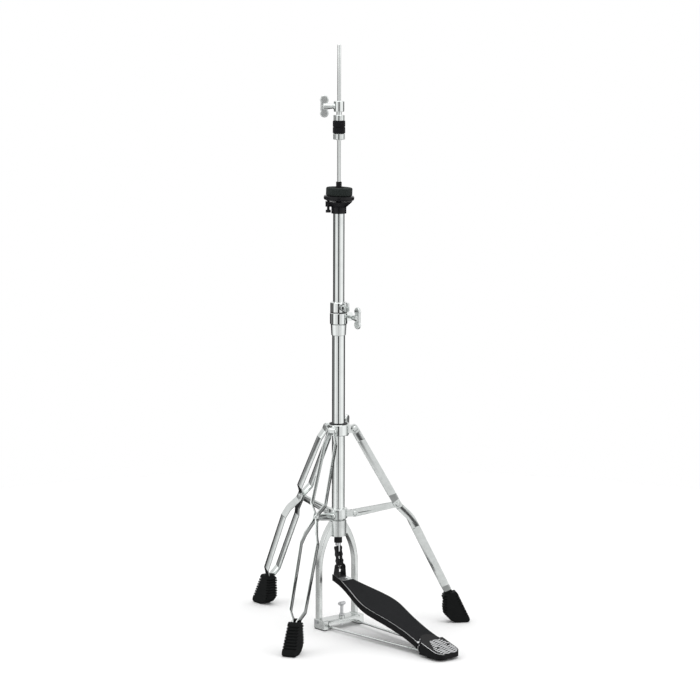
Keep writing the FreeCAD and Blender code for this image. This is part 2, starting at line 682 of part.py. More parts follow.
outer = board_outline(0.0, board_toe_y + 1, board_heel_y - 1).common(
    board_slab(0.0, -board_flange, board_heel_y - 1, board_toe_y + 1))
inner = board_outline(board_wall, board_toe_y - board_wall, board_heel_y - 1).common(
    board_slab(-board_t, -board_flange - 5, board_heel_y - 1, board_toe_y + 1))
slot_y = -24.0
slot_half = 3.0
slot = block(-slot_half, slot_half, slot_y - 2.2, slot_y + 2.2, 80, 130)
slot = slot.fuse([rod(2.2, V(s * slot_half, slot_y, 80), 50) for s in (1, -1)])
barrel = rod(barrel_r, V(-barrel_half, heel_pivot_y, heel_pivot_z), 2 * barrel_half, X_AXIS)
web = prism([
    V(-barrel_half, heel_pivot_y - 1.0, heel_pivot_z + 2.0),
    V(-barrel_half, heel_pivot_y + 2.0, heel_pivot_z - 4.8),
    V(-barrel_half, board_heel_y + 12.0, board_heel_z - board_t - 0.5),
    V(-barrel_half, board_heel_y + 12.0, board_heel_z - 0.4 + 12.0 * board_slope),
    V(-barrel_half, board_heel_y + 0.1, board_heel_z - 0.2),
], V(2 * barrel_half, 0, 0))
toe_pin_y = board_toe_y - 4.6
toe_pin_z = board_toe_z - 8.4
toe_pin_r = 2.2
board = outer.cut([inner, slot])
heel_flange_end = block(-60, 60, board_heel_y - 2, board_heel_y + 4.5, -5, heel_pivot_z + 4.5)
board = board.cut(heel_flange_end)
board = join(board, web, barrel)
board = board.cut(rod(heel_pin_r + running_gap, V(-60, heel_pivot_y, heel_pivot_z), 120, X_AXIS))
board = board.cut(rod(toe_pin_r + seat_gap, V(-60, toe_pin_y, toe_pin_z), 120, X_AXIS))
parts["footboard"] = board.removeSplitter()
toe_pin = rod(toe_pin_r, V(-toe_half - 1.2, toe_pin_y, toe_pin_z), 2 * toe_half + 2.4, X_AXIS)

mat = board_outline(mat_inset, mat_front_y, mat_back_y).common(
    board_slab(mat_t + 0.02, 0.02, mat_back_y, mat_front_y))
lip_room = rod(heel_lip_r + 1.2, V(0, lip_centre_y, 0), 80)
parts["footboard_mat"] = mat.cut(lip_room)


# ================================================================ chain
def board_top(y):
    """Height of the board's crowned top on its centre line."""
    share = (board_toe_y - y) / (board_toe_y - board_heel_y)
    return board_toe_z + board_slope * (y - board_toe_y) + 4 * board_bulge * share * (1 - share)


chain_length = chain_pitch * chain_links
chain_low = V(0, chain_swing_y, rod_pin_z - math.sqrt(chain_length ** 2 - chain_swing_y ** 2))
chain_axis = (chain_low - V(0, 0, rod_pin_z)).normalize()
outer_plate_x = [1.9, chain_half_width - chain_plate_t - 0.1]
inner_plate_x = [2.95, chain_half_width - 2 * chain_plate_t - 0.2]
anchor_hole_r = 2.7


def chain_point(i):
    return V(0, 0, rod_pin_z) + chain_axis * (chain_pitch * i)


def link_plate(i, x, hole_low):
    """One figure-eight link plate between pins i and i + 1, at x."""
    top = chain_point(i)
    low = chain_point(i + 1)
    side = V(0, -chain_axis.z, chain_axis.y)
    waist = chain_plate_r * 0.72
    corners = [top + side * waist, low + side * waist, low - side * waist, top - side * waist]
    plate = prism([V(x, p.y, p.z) for p in corners], V(chain_plate_t, 0, 0))
    plate = plate.fuse([rod(chain_plate_r, V(x, p.y, p.z), chain_plate_t, X_AXIS) for p in (top, low)])
    top_hole = rod(chain_pin_r + seat_gap, V(x - 1, top.y, top.z), chain_plate_t + 2, X_AXIS)
    low_hole = rod(hole_low, V(x - 1, low.y, low.z), chain_plate_t + 2, X_AXIS)
    return plate.cut([top_hole, low_hole]).removeSplitter()


def mirrored_x(shape):
    return shape.mirror(V(0, 0, 0), X_AXIS)


outer_links = []
inner_links = []
for i in range(chain_links):
    last = i == chain_links - 1
    hole = anchor_hole_r if last else chain_pin_r + seat_gap
    group = inner_links if i % 2 else outer_links
    for x in inner_plate_x if i % 2 else outer_plate_x:
        link = link_plate(i, x, hole)
        group.append(link)
        group.append(mirrored_x(link))
roller_x0 = inner_plate_x[0] + chain_plate_t + 0.1
roller_x1 = inner_plate_x[1] - 0.1
for i in range(chain_links):
    at = chain_point(i)
    outer_links.append(rod(chain_pin_r, V(-chain_half_width, at.y, at.z), 2 * chain_half_width, X_AXIS))
    roller = rod(chain_roller_r, V(roller_x0, at.y, at.z), roller_x1 - roller_x0, X_AXIS)
    roller = roller.cut(rod(chain_pin_r + seat_gap, V(0, at.y, at.z), 20, X_AXIS))
    inner_links.append(roller)
    inner_links.append(mirrored_x(roller))
parts["chain_outer_links"] = Part.makeCompound(outer_links)
parts["chain_inner_links"] = Part.makeCompound(inner_links)

# ================================================================ chain anchor on the toe
anchor_y = chain_low.y
anchor_z = chain_low.z
ear_x = chain_half_width + side_gap
ear_t = 1.7
anchor_base_t = 2.4
base_front = V(0, anchor_y + 9.0, board_top(anchor_y + 9.0))
base_back = V(0, anchor_y - 8.0, board_top(anchor_y - 8.0))
reach = ear_x + ear_t
anchor_base = prism([
    V(-reach, base_front.y, base_front.z + seat_gap), V(-reach, base_back.y, base_back.z + seat_gap),
    V(-reach, base_back.y, base_back.z + anchor_base_t), V(-reach, base_front.y, base_front.z + anchor_base_t),
], V(2 * reach, 0, 0))
ears = []
for side in (1, -1):
    x = ear_x if side > 0 else -ear_x - ear_t
    ear = prism([
        V(x, base_front.y, base_front.z + 0.5), V(x, base_back.y, base_back.z + 0.5),
        V(x, anchor_y - 6.2, anchor_z), V(x, anchor_y + 6.2, anchor_z),
    ], V(ear_t, 0, 0))
    ears.append(ear.fuse(rod(6.4, V(x, anchor_y, anchor_z), ear_t, X_AXIS)))
anchor = join(anchor_base, ears[0], ears[1])
anchor = anchor.cut(rod(chain_pin_r + seat_gap, V(-20, anchor_y, anchor_z), 40, X_AXIS))
parts["chain_anchor"] = anchor
anchor_pin = rod(chain_pin_r, V(-reach - 1.2, anchor_y, anchor_z), 2 * reach + 2.4, X_AXIS)
parts["toe_pins"] = Part.makeCompound([toe_pin, anchor_pin])

# ================================================================ pull rod
tongue_bottom = rod_pin_z - tongue_w / 2 - 5.5
clevis = join(
    rod(clevis_r, V(0, 0, clevis_neck_z), clevis_top_z - clevis_neck_z),
    block(-tongue_t / 2, tongue_t / 2, -tongue_w / 2, tongue_w / 2, tongue_bottom + tongue_w / 2, clevis_neck_z + 1),
    rod(tongue_w / 2, V(-tongue_t / 2, 0, tongue_bottom + tongue_w / 2), tongue_t, X_AXIS),
)
clevis = clevis.cut([
    rod(chain_pin_r + running_gap, V(-10, 0, rod_pin_z), 20, X_AXIS),
    rod(rod_r + seat_gap, V(0, 0, clevis_neck_z + 1.0), 10),
])
parts["rod_clevis"] = clevis
socket_r = 5.2
parts["lower_pull_rod"] = join(
    rod(rod_r, V(0, 0, clevis_neck_z + 1.1), rod_joint_z - clevis_neck_z - 1.1),
    rod(socket_r, V(0, 0, rod_joint_z - 18.0), 22.0),
).cut(rod(rod_r + seat_gap, V(0, 0, rod_joint_z), 10.0))
upper_rod = rod(rod_r, V(0, 0, rod_joint_z + 0.05), rod_top_z - rod_joint_z - 0.05)
parts["upper_pull_rod"] = chamfered(upper_rod, 0.8, lambda p: p.z > rod_top_z - 0.1)

parts["rod_bumper"] = join(
    ring(bumper_r, rod_r + running_gap, bumper_bottom_z, bumper_top_z - bumper_bottom_z),
    ring(lower_tube_r - lower_tube_wall - seat_gap, rod_r + running_gap, hub_bottom_z + 0.1,
         spring_bottom_z - spring_wire_r - hub_bottom_z - 1.2),
    ring(bumper_r, rod_r + running_gap, bumper_top_z - 1.0, 4.0),
)
parts["spring_collar"] = ring(9.6, rod_r + seat_gap, spring_top_z + spring_wire_r + 0.3, 6.0)
coil = Part.makeHelix((spring_top_z - spring_bottom_z) / spring_turns, spring_top_z - spring_bottom_z, spring_r)
coil.translate(V(0, 0, spring_bottom_z))
wire_start = coil.Vertexes[0].Point
section = Part.Wire(Part.makeCircle(spring_wire_r, wire_start, Y_AXIS))
sweep = Part.Wire(coil.Edges).makePipeShell([section], True, True)
parts["return_spring"] = sweep
parts["rod_guide"] = ring(upper_tube_r - upper_tube_wall - seat_gap, rod_r + running_gap,
                          upper_tube_top_z - rod_guide_depth, rod_guide_depth - 0.5)

# ================================================================ leg collar
collar_lugs = []
for angle in leg_angles.values():
    lug = block(10, leg_pivot_r, -leg_lug_half, leg_lug_half, leg_pivot_z - 8.5, leg_pivot_z + 7.0)
    nose = rod(7.0, V(leg_pivot_r, -leg_lug_half, leg_pivot_z), 2 * leg_lug_half, Y_AXIS)
    collar_lugs.append(turned(lug.fuse(nose), angle))
collar_inner_r = lower_tube_r + 2.0
collar_top_z = leg_collar_bottom_z + leg_collar_height
collar = rod(leg_collar_r, V(0, 0, leg_collar_bottom_z), leg_collar_height)
collar = chamfered(collar, 1.0, lambda p: True)
bolt_deg = 30.0
collar_boss = turned(rod(7.5, V(leg_collar_r - 3.0, 0, 0), 9.0, X_AXIS), bolt_deg, leg_pivot_z - 1.0)
collar = join(collar, collar_boss, *collar_lugs)
holes = [rod(collar_inner_r, V(0, 0, leg_collar_bottom_z - 1), leg_collar_height + 2)]
for angle in leg_angles.values():
    hole = rod(leg_rivet_r + seat_gap, V(leg_pivot_r, -20, leg_pivot_z), 40, Y_AXIS)
    holes.append(turned(hole, angle))
holes.append(turned(rod(bolt_r + running_gap, V(10, 0, 0), 30, X_AXIS), bolt_deg, leg_pivot_z - 1.0))
parts["leg_collar"] = collar.cut(holes).removeSplitter()
collar_sleeve = join(
    ring(collar_inner_r - seat_gap, lower_tube_r + running_gap, leg_collar_bottom_z - 0.5, leg_collar_height + 1.0),
    ring(leg_collar_r - 2.2, lower_tube_r + running_gap, collar_top_z + 0.05, 1.6),
)
parts["leg_collar_sleeve"] = collar_sleeve.cut(
    turned(rod(bolt_r + running_gap, V(5, 0, 0), 30, X_AXIS), bolt_deg, leg_pivot_z - 1.0))
collar_bolt = wing_bolt(lower_tube_r + 0.3, 38.0)
parts["collar_wing_bolt"] = turned(collar_bolt, bolt_deg, leg_pivot_z - 1.0)

# ================================================================ legs
leg_dr = leg_foot_r - leg_pivot_r
leg_dz = leg_foot_z - leg_pivot_z
leg_length = math.hypot(leg_dr, leg_dz)
along_r = leg_dr / leg_length
along_z = leg_dz / leg_length
bar_plane = leg_bar_t / 2 + leg_lug_half + plate_gap
stay_plane = stay_t / 2 + 0.5 + leg_bar_t / 2


def leg_point(s, n, t):
    """A point s along a leg, n outward from its line and t sideways."""
    return V(leg_pivot_r + s * along_r - n * along_z, t, leg_pivot_z + s * along_z + n * along_r)


side_path = [(0.0, 0.0), (stay_reach_on_leg + 4.0, 0.0), (stay_reach_on_leg + 36.0, leg_kink),
             (leg_length + leg_tail, 0.0)]


def leg_bar(side, grow):
    """One bent flat bar of a leg; grow widens it all round."""
    profile = band(side_path, leg_bar_width + 2 * grow, 26.0,
                   lambda s, n: leg_point(s, n, -30.0), V(0, 60, 0))
    head = rod(leg_bar_width / 2 + grow, leg_point(0, 0, -30.0), 60, Y_AXIS)
    profile = profile.fuse(head)
    spread = [(-12.0, bar_plane), (9.0, bar_plane), (26.0, leg_spread_upper - 1.5),
              (stay_reach_on_leg - 26.0, leg_spread_upper + 1.0), (stay_reach_on_leg - 8.0, stay_plane),
              (stay_reach_on_leg + 8.0, stay_plane), (stay_reach_on_leg + 56.0, leg_spread_lower + 1.0),
              (leg_length - 13.0, leg_spread_lower - 1.0), (leg_length + 8.0, leg_foot_half),
              (leg_length + leg_tail + grow, leg_foot_half)]
    start = leg_point(0, -40.0, 0)
    across = (leg_point(0, 1.0, 0) - leg_point(0, 0, 0)) * 80.0
    ribbon = band([(s, side * t) for s, t in spread], leg_bar_t + 2 * grow, 6.0,
                  lambda s, t: start + (leg_point(s, 0, t) - leg_point(0, 0, 0)), across)
    return profile.common(ribbon)


leg_holes = [
    rod(leg_rivet_r + running_gap, leg_point(0, 0, -30), 60, Y_AXIS),
    rod(stay_rivet_r + seat_gap, leg_point(stay_reach_on_leg, 0, -30), 60, Y_AXIS),
]


def rivet(radius, centre, y0, y1, head_r, head_t):
    """A rivet along Y with a domed head on each end."""
    shank = rod(radius, V(centre.x, y0, centre.z), y1 - y0, Y_AXIS)
    near = Part.makeCone(head_r * 0.7, head_r, head_t, V(centre.x, y0 - head_t, centre.z), Y_AXIS)
    far = Part.makeCone(head_r, head_r * 0.7, head_t, V(centre.x, y1, centre.z), Y_AXIS)
    return join(shank, near, far)


bar_left = leg_bar(1, 0.0).cut(leg_holes)
bar_right = leg_bar(-1, 0.0).cut(leg_holes)

# The rubber foot: a side outline, narrowed towards its top.
foot_top_points = [(-5.7, -21.9), (-8.7, -12.9), (-5.2, -8.4), (18.3, -3.4), (21.8, -7.4)]
foot_floor_points = [(44.8, 10.0), (46.3, 4.5), (42.8, 0.6), (37.8, 0.0), (18.8, 0.0), (7.8, 4.5),
                     (-4.7, 17.0), (-6.7, 30.0)]
foot_outline = [(leg_foot_r + out, leg_foot_z + up) for out, up in foot_top_points]
foot_outline += [(leg_foot_r + out, z) for out, z in foot_floor_points]
foot_side = prism([V(r, -40, z) for r, z in foot_outline], V(0, 80, 0))
foot_top = foot_outline[3][1]
foot_start = leg_foot_r - 2 * foot_bottom_width
foot_front = prism([
    V(foot_start, -foot_bottom_width / 2, 0), V(foot_start, foot_bottom_width / 2, 0),
    V(foot_start, foot_bottom_width / 2, foot_skirt_z), V(foot_start, foot_top_width / 2, foot_top + 2),
    V(foot_start, -foot_top_width / 2, foot_top + 2), V(foot_start, -foot_bottom_width / 2, foot_skirt_z),
], V(120, 0, 0))
pocket = [leg_bar(1, seat_gap), leg_bar(-1, seat_gap)]
foot_block = rounded(foot_side.common(foot_front), foot_round, lambda p: True)
foot_collar = block(leg_foot_r - foot_collar_in, leg_foot_r + foot_collar_out, -foot_collar_half,
                    foot_collar_half, leg_foot_z - foot_collar_depth, leg_foot_z - foot_collar_drop)
foot_collar = rounded(foot_collar, foot_round / 2, lambda p: p.z > leg_foot_z - foot_collar_depth + 0.1)
foot_solid = join(foot_block, foot_collar).cut(pocket).removeSplitter()

bar_outer = bar_plane + leg_bar_t / 2 + plate_gap
pivot_centre = V(leg_pivot_r, 0, leg_pivot_z)
collar_rivet = rivet(leg_rivet_r, pivot_centre, -bar_outer, bar_outer, 5.2, 1.6)
stay_point = leg_point(stay_reach_on_leg, 0, 0)
stay_bar_in = stay_plane - leg_bar_t / 2
stay_bar_out = stay_plane + leg_bar_t / 2
stay_stub = join(
    rod(stay_rivet_r, V(stay_point.x, stay_bar_in, stay_point.z), leg_bar_t + 0.02, Y_AXIS),
    Part.makeCone(4.6, 3.2, 1.6, V(stay_point.x, stay_bar_out + 0.02, stay_point.z), Y_AXIS),
)
stay_stubs = [stay_stub, stay_stub.mirror(V(0, 0, 0), Y_AXIS)]

# ================================================================ stays
stay_in = V(stay_inner_r, 0, stay_inner_z)
stay_run = stay_point - stay_in
stay_dir = V(stay_run.x, 0, stay_run.z).normalize()
stay_up = V(-stay_dir.z, 0, stay_dir.x)
stay_tip = stay_point + stay_dir * 2.0
stay_corners = [stay_in + stay_up * (stay_width_in / 2), stay_tip + stay_up * (stay_width_out / 2),
                stay_tip - stay_up * (stay_width_out / 2), stay_in - stay_up * (stay_width_in / 2)]
stay = prism([V(p.x, -stay_t / 2, p.z) for p in stay_corners], V(0, stay_t, 0))
stay = join(stay, rod(stay_width_in / 2, V(stay_in.x, -stay_t / 2, stay_in.z), stay_t, Y_AXIS),
            rod(stay_width_out / 2, V(stay_tip.x, -stay_t / 2, stay_tip.z), stay_t, Y_AXIS))
stay = stay.cut(rod(stay_rivet_r + running_gap, V(stay_in.x, -10, stay_in.z), 20, Y_AXIS))

stay_lug_in = stay_t / 2 + plate_gap
stay_lug_out = stay_lug_in + stay_lug_t
stay_lugs = []
stay_holes = [rod(lower_tube_r + running_gap, V(0, 0, stay_collar_bottom_z - 1), stay_collar_height + 2)]
stay_rivet = rivet(stay_rivet_r, stay_in, -stay_lug_out - 0.05, stay_lug_out + 0.05, 4.6, 1.5)
for angle in leg_angles.values():
    lug = block(12, stay_inner_r, -stay_lug_out, stay_lug_out, stay_inner_z - 6.5, stay_inner_z + 6.5)
    nose = rod(6.5, V(stay_inner_r, -stay_lug_out, stay_inner_z), 2 * stay_lug_out, Y_AXIS)
    stay_lugs.append(turned(lug.fuse(nose), angle))
    slot_start = stay_inner_r - stay_width_in / 2 - 0.6
    gap = block(slot_start, stay_inner_r + 20, -stay_lug_in, stay_lug_in, stay_inner_z - 12, stay_inner_z + 12)
    stay_holes.append(turned(gap, angle))
    stay_holes.append(turned(rod(stay_rivet_r + seat_gap, V(stay_inner_r, -20, stay_inner_z), 40, Y_AXIS), angle))
stay_ring = rod(stay_collar_r, V(0, 0, stay_collar_bottom_z), stay_collar_height)
stay_ring = chamfered(stay_ring, 1.0, lambda p: True)
parts["stay_collar"] = join(stay_ring, *stay_lugs).cut(stay_holes).removeSplitter()

leg_rivets = []
stay_rivets = []
for name, angle in leg_angles.items():
    parts["leg_bar_left_" + name] = turned(bar_left, angle)
    parts["leg_bar_right_" + name] = turned(bar_right, angle)
    parts["leg_rivets_" + name] = turned(Part.makeCompound(stay_stubs), angle)
    parts["rubber_foot_" + name] = turned(foot_solid, angle)
    parts["stay_" + name] = turned(stay, angle)
    leg_rivets.append(turned(collar_rivet, angle))
    stay_rivets.append(turned(stay_rivet, angle))
parts["leg_pivot_rivets"] = Part.makeCompound(leg_rivets)
parts["stay_pivot_rivets"] = Part.makeCompound(stay_rivets)

# ================================================================ cymbal seat
seat_bore_r = rod_r + 0.25
seat_bore_from_z = upper_tube_top_z - rod_guide_depth
seat_body = revolve([
    (seat_bore_r, upper_tube_top_z + 0.05),
    (upper_tube_r + seat_gap, upper_tube_top_z + 0.05),
    (upper_tube_r + seat_gap, seat_body_bottom_z),
    (seat_body_r, seat_body_bottom_z),
    (seat_body_r, seat_cone_bottom_z),
    (seat_cone_r, seat_cone_top_z),
    (seat_cone_r, seat_body_top_z),
    (seat_bore_r, seat_body_top_z),
])
screw_ear = block(8, tilt_screw_at, -5.5, 5.5, ear_bottom_z, seat_body_top_z)
screw_ear = screw_ear.fuse(rod(5.5, V(tilt_screw_at, 0, ear_bottom_z), seat_body_top_z - ear_bottom_z))
seat_body = join(seat_body, turned(screw_ear, tilt_deg))
seat_body = seat_body.cut([
    turned(rod(tilt_screw_r + running_gap, V(tilt_screw_at, 0, seat_bore_from_z), 100), tilt_deg),
    rod(seat_bore_r, V(0, 0, seat_bore_from_z), 100),
])
fulcrum_z = seat_cup_bottom_z - side_gap - fulcrum_r
fulcrum = rod(fulcrum_r, V(0, -16.0, fulcrum_z), 32.0, Y_AXIS)
fulcrum = turned(fulcrum, tilt_deg)
sleeve = rod(seat_sleeve_r, V(0, 0, seat_body_top_z), seat_sleeve_top_z - seat_body_top_z)
sleeve = join(sleeve, rod(seat_spigot_r, V(0, 0, seat_body_top_z - seat_spigot_length), seat_spigot_length))
sleeve = chamfered(sleeve, 0.7, lambda p: p.z > seat_sleeve_top_z - 0.1)
sleeve_bore = rod(rod_r + running_gap, V(0, 0, seat_bore_from_z), 120)
fulcrum = fulcrum.cut(rod(seat_hole_r, V(0, 0, seat_body_top_z), 10))
parts["seat_base"] = join(seat_body, fulcrum).cut(
    [rod(seat_spigot_r + seat_gap, V(0, 0, seat_body_top_z - seat_spigot_length - seat_gap), 50),
     sleeve_bore]).removeSplitter()
parts["seat_sleeve"] = sleeve.cut(sleeve_bore)
fulcrum_axis = V(-math.sin(math.radians(tilt_deg)), math.cos(math.radians(tilt_deg)), 0)


def tilted(shape):
    """Lean a seat piece away from the tilt screw, about the fulcrum."""
    copy = shape.copy()
    copy.rotate(V(0, 0, fulcrum_z), fulcrum_axis, -seat_rest_tilt)
    return copy


seat_cup = revolve([
    (seat_hole_r, seat_cup_bottom_z),
    (seat_cup_r - 3.0, seat_cup_bottom_z),
    (seat_cup_r - 0.9, seat_cup_bottom_z + 0.9),
    (seat_cup_r, seat_cup_bottom_z + 3.0),
    (seat_cup_r, seat_cup_top_z - 2.4),
    (seat_cup_r - 0.7, seat_cup_top_z - 0.7),
    (seat_cup_r - 2.4, seat_cup_top_z),
    (seat_hole_r, seat_cup_top_z),
])
parts["seat_cup"] = tilted(seat_cup)
parts["seat_felt"] = tilted(ring(seat_felt_r, seat_hole_r, seat_cup_top_z + 0.02, seat_felt_t))
screw_rise = (tilt_screw_at - tilt_screw_r) * math.tan(math.radians(seat_rest_tilt))
screw_tip_z = seat_cup_bottom_z + screw_rise - 0.15
tilt_screw = join(
    rod(tilt_screw_r, V(tilt_screw_at, 0, tilt_head_z), screw_tip_z - tilt_head_z),
    rod(tilt_head_r, V(tilt_screw_at, 0, tilt_head_z), tilt_head_height),
)
parts["tilt_screw"] = turned(tilt_screw, tilt_deg)

# ================================================================ clutch
clutch_body = rod(clutch_r, V(0, 0, clutch_bottom_z), clutch_top_z - clutch_bottom_z)
clutch_body = rounded(clutch_body, 1.2, lambda p: True)
wing_seat = turned(rod(5.4, V(clutch_r - 3.0, 0, 0), 5.0, X_AXIS), clutch_wing_deg, clutch_wing_z)
clutch_tube = rod(clutch_tube_r, V(0, 0, clutch_lower_nut_z - 1.5), clutch_bottom_z - clutch_lower_nut_z + 4.0)
clutch_bore = rod(rod_r + running_gap, V(0, 0, clutch_lower_nut_z - 5), 100)
tube_seat = rod(clutch_tube_r + seat_gap, V(0, 0, clutch_bottom_z - 1), 3.6)
wing_hole = turned(rod(bolt_r + running_gap, V(0, 0, 0), 30, X_AXIS), clutch_wing_deg, clutch_wing_z)
parts["clutch_body"] = join(clutch_body, wing_seat).cut([clutch_bore, tube_seat, wing_hole])
parts["clutch_tube"] = clutch_tube.cut(clutch_bore)


def knurled_nut(radius, z0, z1, flats):
    """A round nut with finger grooves down its side."""
    nut = chamfered(ring(radius, clutch_tube_r + seat_gap, z0, z1 - z0), 0.7,
                    lambda p: math.hypot(p.x, p.y) > radius - 0.1 and (p.z < z0 + 0.1 or p.z > z1 - 0.1))
    grooves = []
    for i in range(flats):
        groove = rod(1.1, V(radius + 0.55, 0, z0 - 1), z1 - z0 + 2)
        grooves.append(turned(groove, 360.0 * i / flats))
    return nut.cut(grooves)


parts["clutch_upper_nut"] = knurled_nut(clutch_nut_r, clutch_felt_top_z, clutch_nut_top_z, 18)
parts["clutch_lower_nut"] = knurled_nut(clutch_lower_nut_r, clutch_lower_nut_z, clutch_felt_bottom_z - 0.3, 18)
felt_split = (clutch_felt_top_z + clutch_felt_bottom_z) / 2
felts = []
for z0, z1 in ((clutch_felt_bottom_z, felt_split - 0.1), (felt_split + 0.1, clutch_felt_top_z - 0.1)):
    felts.append(ring(clutch_felt_r, clutch_tube_r + 0.2, z0, z1 - z0))
parts["clutch_felts"] = Part.makeCompound(felts)
parts["clutch_wing_bolt"] = turned(wing_bolt(rod_r + 0.15, 19.0), clutch_wing_deg, clutch_wing_z)

# ================================================================ write the pieces
os.makedirs("parts", exist_ok=True)
for node, shape in parts.items():
    placed = shape.translated(V(0, tube_axis_y, 0))
    placed.exportStep("parts/" + node + ".step")
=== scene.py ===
import json
import math

import bpy
from mathutils import Matrix, Vector


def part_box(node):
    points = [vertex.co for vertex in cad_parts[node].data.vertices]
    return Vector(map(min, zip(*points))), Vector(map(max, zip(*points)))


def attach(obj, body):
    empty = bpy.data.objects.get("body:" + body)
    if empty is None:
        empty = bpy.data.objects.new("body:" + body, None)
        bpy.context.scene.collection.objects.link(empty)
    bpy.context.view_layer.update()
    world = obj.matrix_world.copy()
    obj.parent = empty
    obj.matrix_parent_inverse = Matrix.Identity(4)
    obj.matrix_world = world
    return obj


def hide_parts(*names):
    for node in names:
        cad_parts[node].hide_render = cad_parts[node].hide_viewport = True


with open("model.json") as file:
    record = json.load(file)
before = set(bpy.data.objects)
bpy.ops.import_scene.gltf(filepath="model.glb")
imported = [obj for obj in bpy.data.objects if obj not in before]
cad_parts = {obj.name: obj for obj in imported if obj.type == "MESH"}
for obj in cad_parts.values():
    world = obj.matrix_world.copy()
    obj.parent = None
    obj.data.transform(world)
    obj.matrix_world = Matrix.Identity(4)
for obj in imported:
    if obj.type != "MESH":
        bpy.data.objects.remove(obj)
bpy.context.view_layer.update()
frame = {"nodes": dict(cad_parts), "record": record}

bl_info = {
    "name": "Hi-hat stand looks",
    "version": (1, 0, 0),
    "blender": (4, 5, 0),
    "location": "3D View > Sidebar > Hi-hat stand",
    "description": "Dresses the packed hi-hat stand: "
                   "felts, rubber feet, grip ribs, wings and metal finishes",
    "category": "Object",
}

LEG_ANGLES = {"front_right": -30.0, "front_left": 210.0, "rear": 90.0}
MM = 0.001
# The upright tubes' axis, seen from above.
TUBE_AXIS = Vector((0.0, 37.7 * MM, 0.0))


# ------------------------------------------------------------------ sizes and colours
class FeltSettings(bpy.types.PropertyGroup):
    """Sizes and colours of the felts."""

    seat_color: bpy.props.FloatVectorProperty(
        name="Seat felt colour", description="Colour of the thick felt under the lower cymbal",
        subtype="COLOR", size=3, min=0.0, max=1.0, default=(0.014, 0.017, 0.016))
    clutch_color: bpy.props.FloatVectorProperty(
        name="Clutch felt colour", description="Colour of the two clutch felts",
        subtype="COLOR", size=3, min=0.0, max=1.0, default=(0.007, 0.007, 0.008))
    edge_round: bpy.props.FloatProperty(
        name="Edge rounding", description="How far the felts' rims are rounded over",
        default=2.4 * MM, min=0.5 * MM, max=4 * MM, unit="LENGTH")
    fuzz: bpy.props.FloatProperty(
        name="Fuzz", description="Depth of the uneven felt surface",
        default=0.45 * MM, min=0.0, max=1.5 * MM, unit="LENGTH")


class RubberSettings(bpy.types.PropertyGroup):
    """Sizes and colours of the rubber pieces."""

    color: bpy.props.FloatVectorProperty(
        name="Rubber colour", description="Colour of the rubber feet and floor pads",
        subtype="COLOR", size=3, min=0.0, max=1.0, default=(0.005, 0.0055, 0.0055))
    groove_depth: bpy.props.FloatProperty(
        name="Groove depth", description="Depth of the grooves round the rubber feet",
        default=2.8 * MM, min=0.2 * MM, max=4 * MM, unit="LENGTH")
    groove_width: bpy.props.FloatProperty(
        name="Groove width", description="Width of each groove round the rubber feet",
        default=2.4 * MM, min=0.4 * MM, max=4 * MM, unit="LENGTH")


class HeelSettings(bpy.types.PropertyGroup):
    """The anti-slip ribs on the heel plate."""

    rib_color: bpy.props.FloatVectorProperty(
        name="Rib colour", description="Colour of the wavy anti-slip ribs",
        subtype="COLOR", size=3, min=0.0, max=1.0, default=(0.55, 0.56, 0.57))
    rib_width: bpy.props.FloatProperty(
        name="Rib width", description="Width of each wavy rib",
        default=2.3 * MM, min=0.4 * MM, max=3 * MM, unit="LENGTH")
    rib_pitch: bpy.props.FloatProperty(
        name="Rib pitch", description="Distance from rib to rib",
        default=5.2 * MM, min=2 * MM, max=8 * MM, unit="LENGTH")
    rib_wave: bpy.props.FloatProperty(
        name="Rib wave", description="Length of one wave of a rib",
        default=15.0 * MM, min=4 * MM, max=40 * MM, unit="LENGTH")
    rib_swing: bpy.props.FloatProperty(
        name="Rib swing", description="How far a rib swings to each side",
        default=1.1 * MM, min=0.0, max=3 * MM, unit="LENGTH")


class MetalSettings(bpy.types.PropertyGroup):
    """Colours of the metal, paint and moulded pieces."""

    chrome: bpy.props.FloatVectorProperty(
        name="Chrome", description="Colour of the polished tubes, clamps and nuts",
        subtype="COLOR", size=3, min=0.0, max=1.0, default=(0.70, 0.725, 0.715))
    plate: bpy.props.FloatVectorProperty(
        name="Plated strip", description="Colour of the plated legs and stays",
        subtype="COLOR", size=3, min=0.0, max=1.0, default=(0.64, 0.665, 0.655))
    casting: bpy.props.FloatVectorProperty(
        name="Casting", description="Colour of the polished casting",
        subtype="COLOR", size=3, min=0.0, max=1.0, default=(0.60, 0.622, 0.612))
    paint: bpy.props.FloatVectorProperty(
        name="Black paint", description="Colour of the painted footboard and heel plate",
        subtype="COLOR", size=3, min=0.0, max=1.0, default=(0.005, 0.005, 0.0055))
    mat: bpy.props.FloatVectorProperty(
        name="Grip mat", description="Colour of the footboard's grip mat",
        subtype="COLOR", size=3, min=0.0, max=1.0, default=(0.011, 0.0115, 0.0125))
    wing_softness: bpy.props.IntProperty(
        name="Wing softness", description="How far the cast wings' edges are smoothed over",
        default=14, min=1, max=40)


class StageSettings(bpy.types.PropertyGroup):
    """Floor, light and camera."""

    floor_color: bpy.props.FloatVectorProperty(
        name="Floor colour", description="Colour of the plain floor",
        subtype="COLOR", size=3, min=0.0, max=1.0, default=(0.92, 0.92, 0.92))
    floor_radius: bpy.props.FloatProperty(
        name="Floor radius", description="Radius of the round floor",
        default=1.6, min=0.8, max=10.0, unit="LENGTH")
    key_power: bpy.props.FloatProperty(
        name="Key light", description="Power of the large soft light overhead, in watts",
        default=24.0, min=0.0, max=2000.0)
    lens: bpy.props.FloatProperty(
        name="Lens", description="Focal length in millimetres", default=153.1, min=20.0, max=400.0)


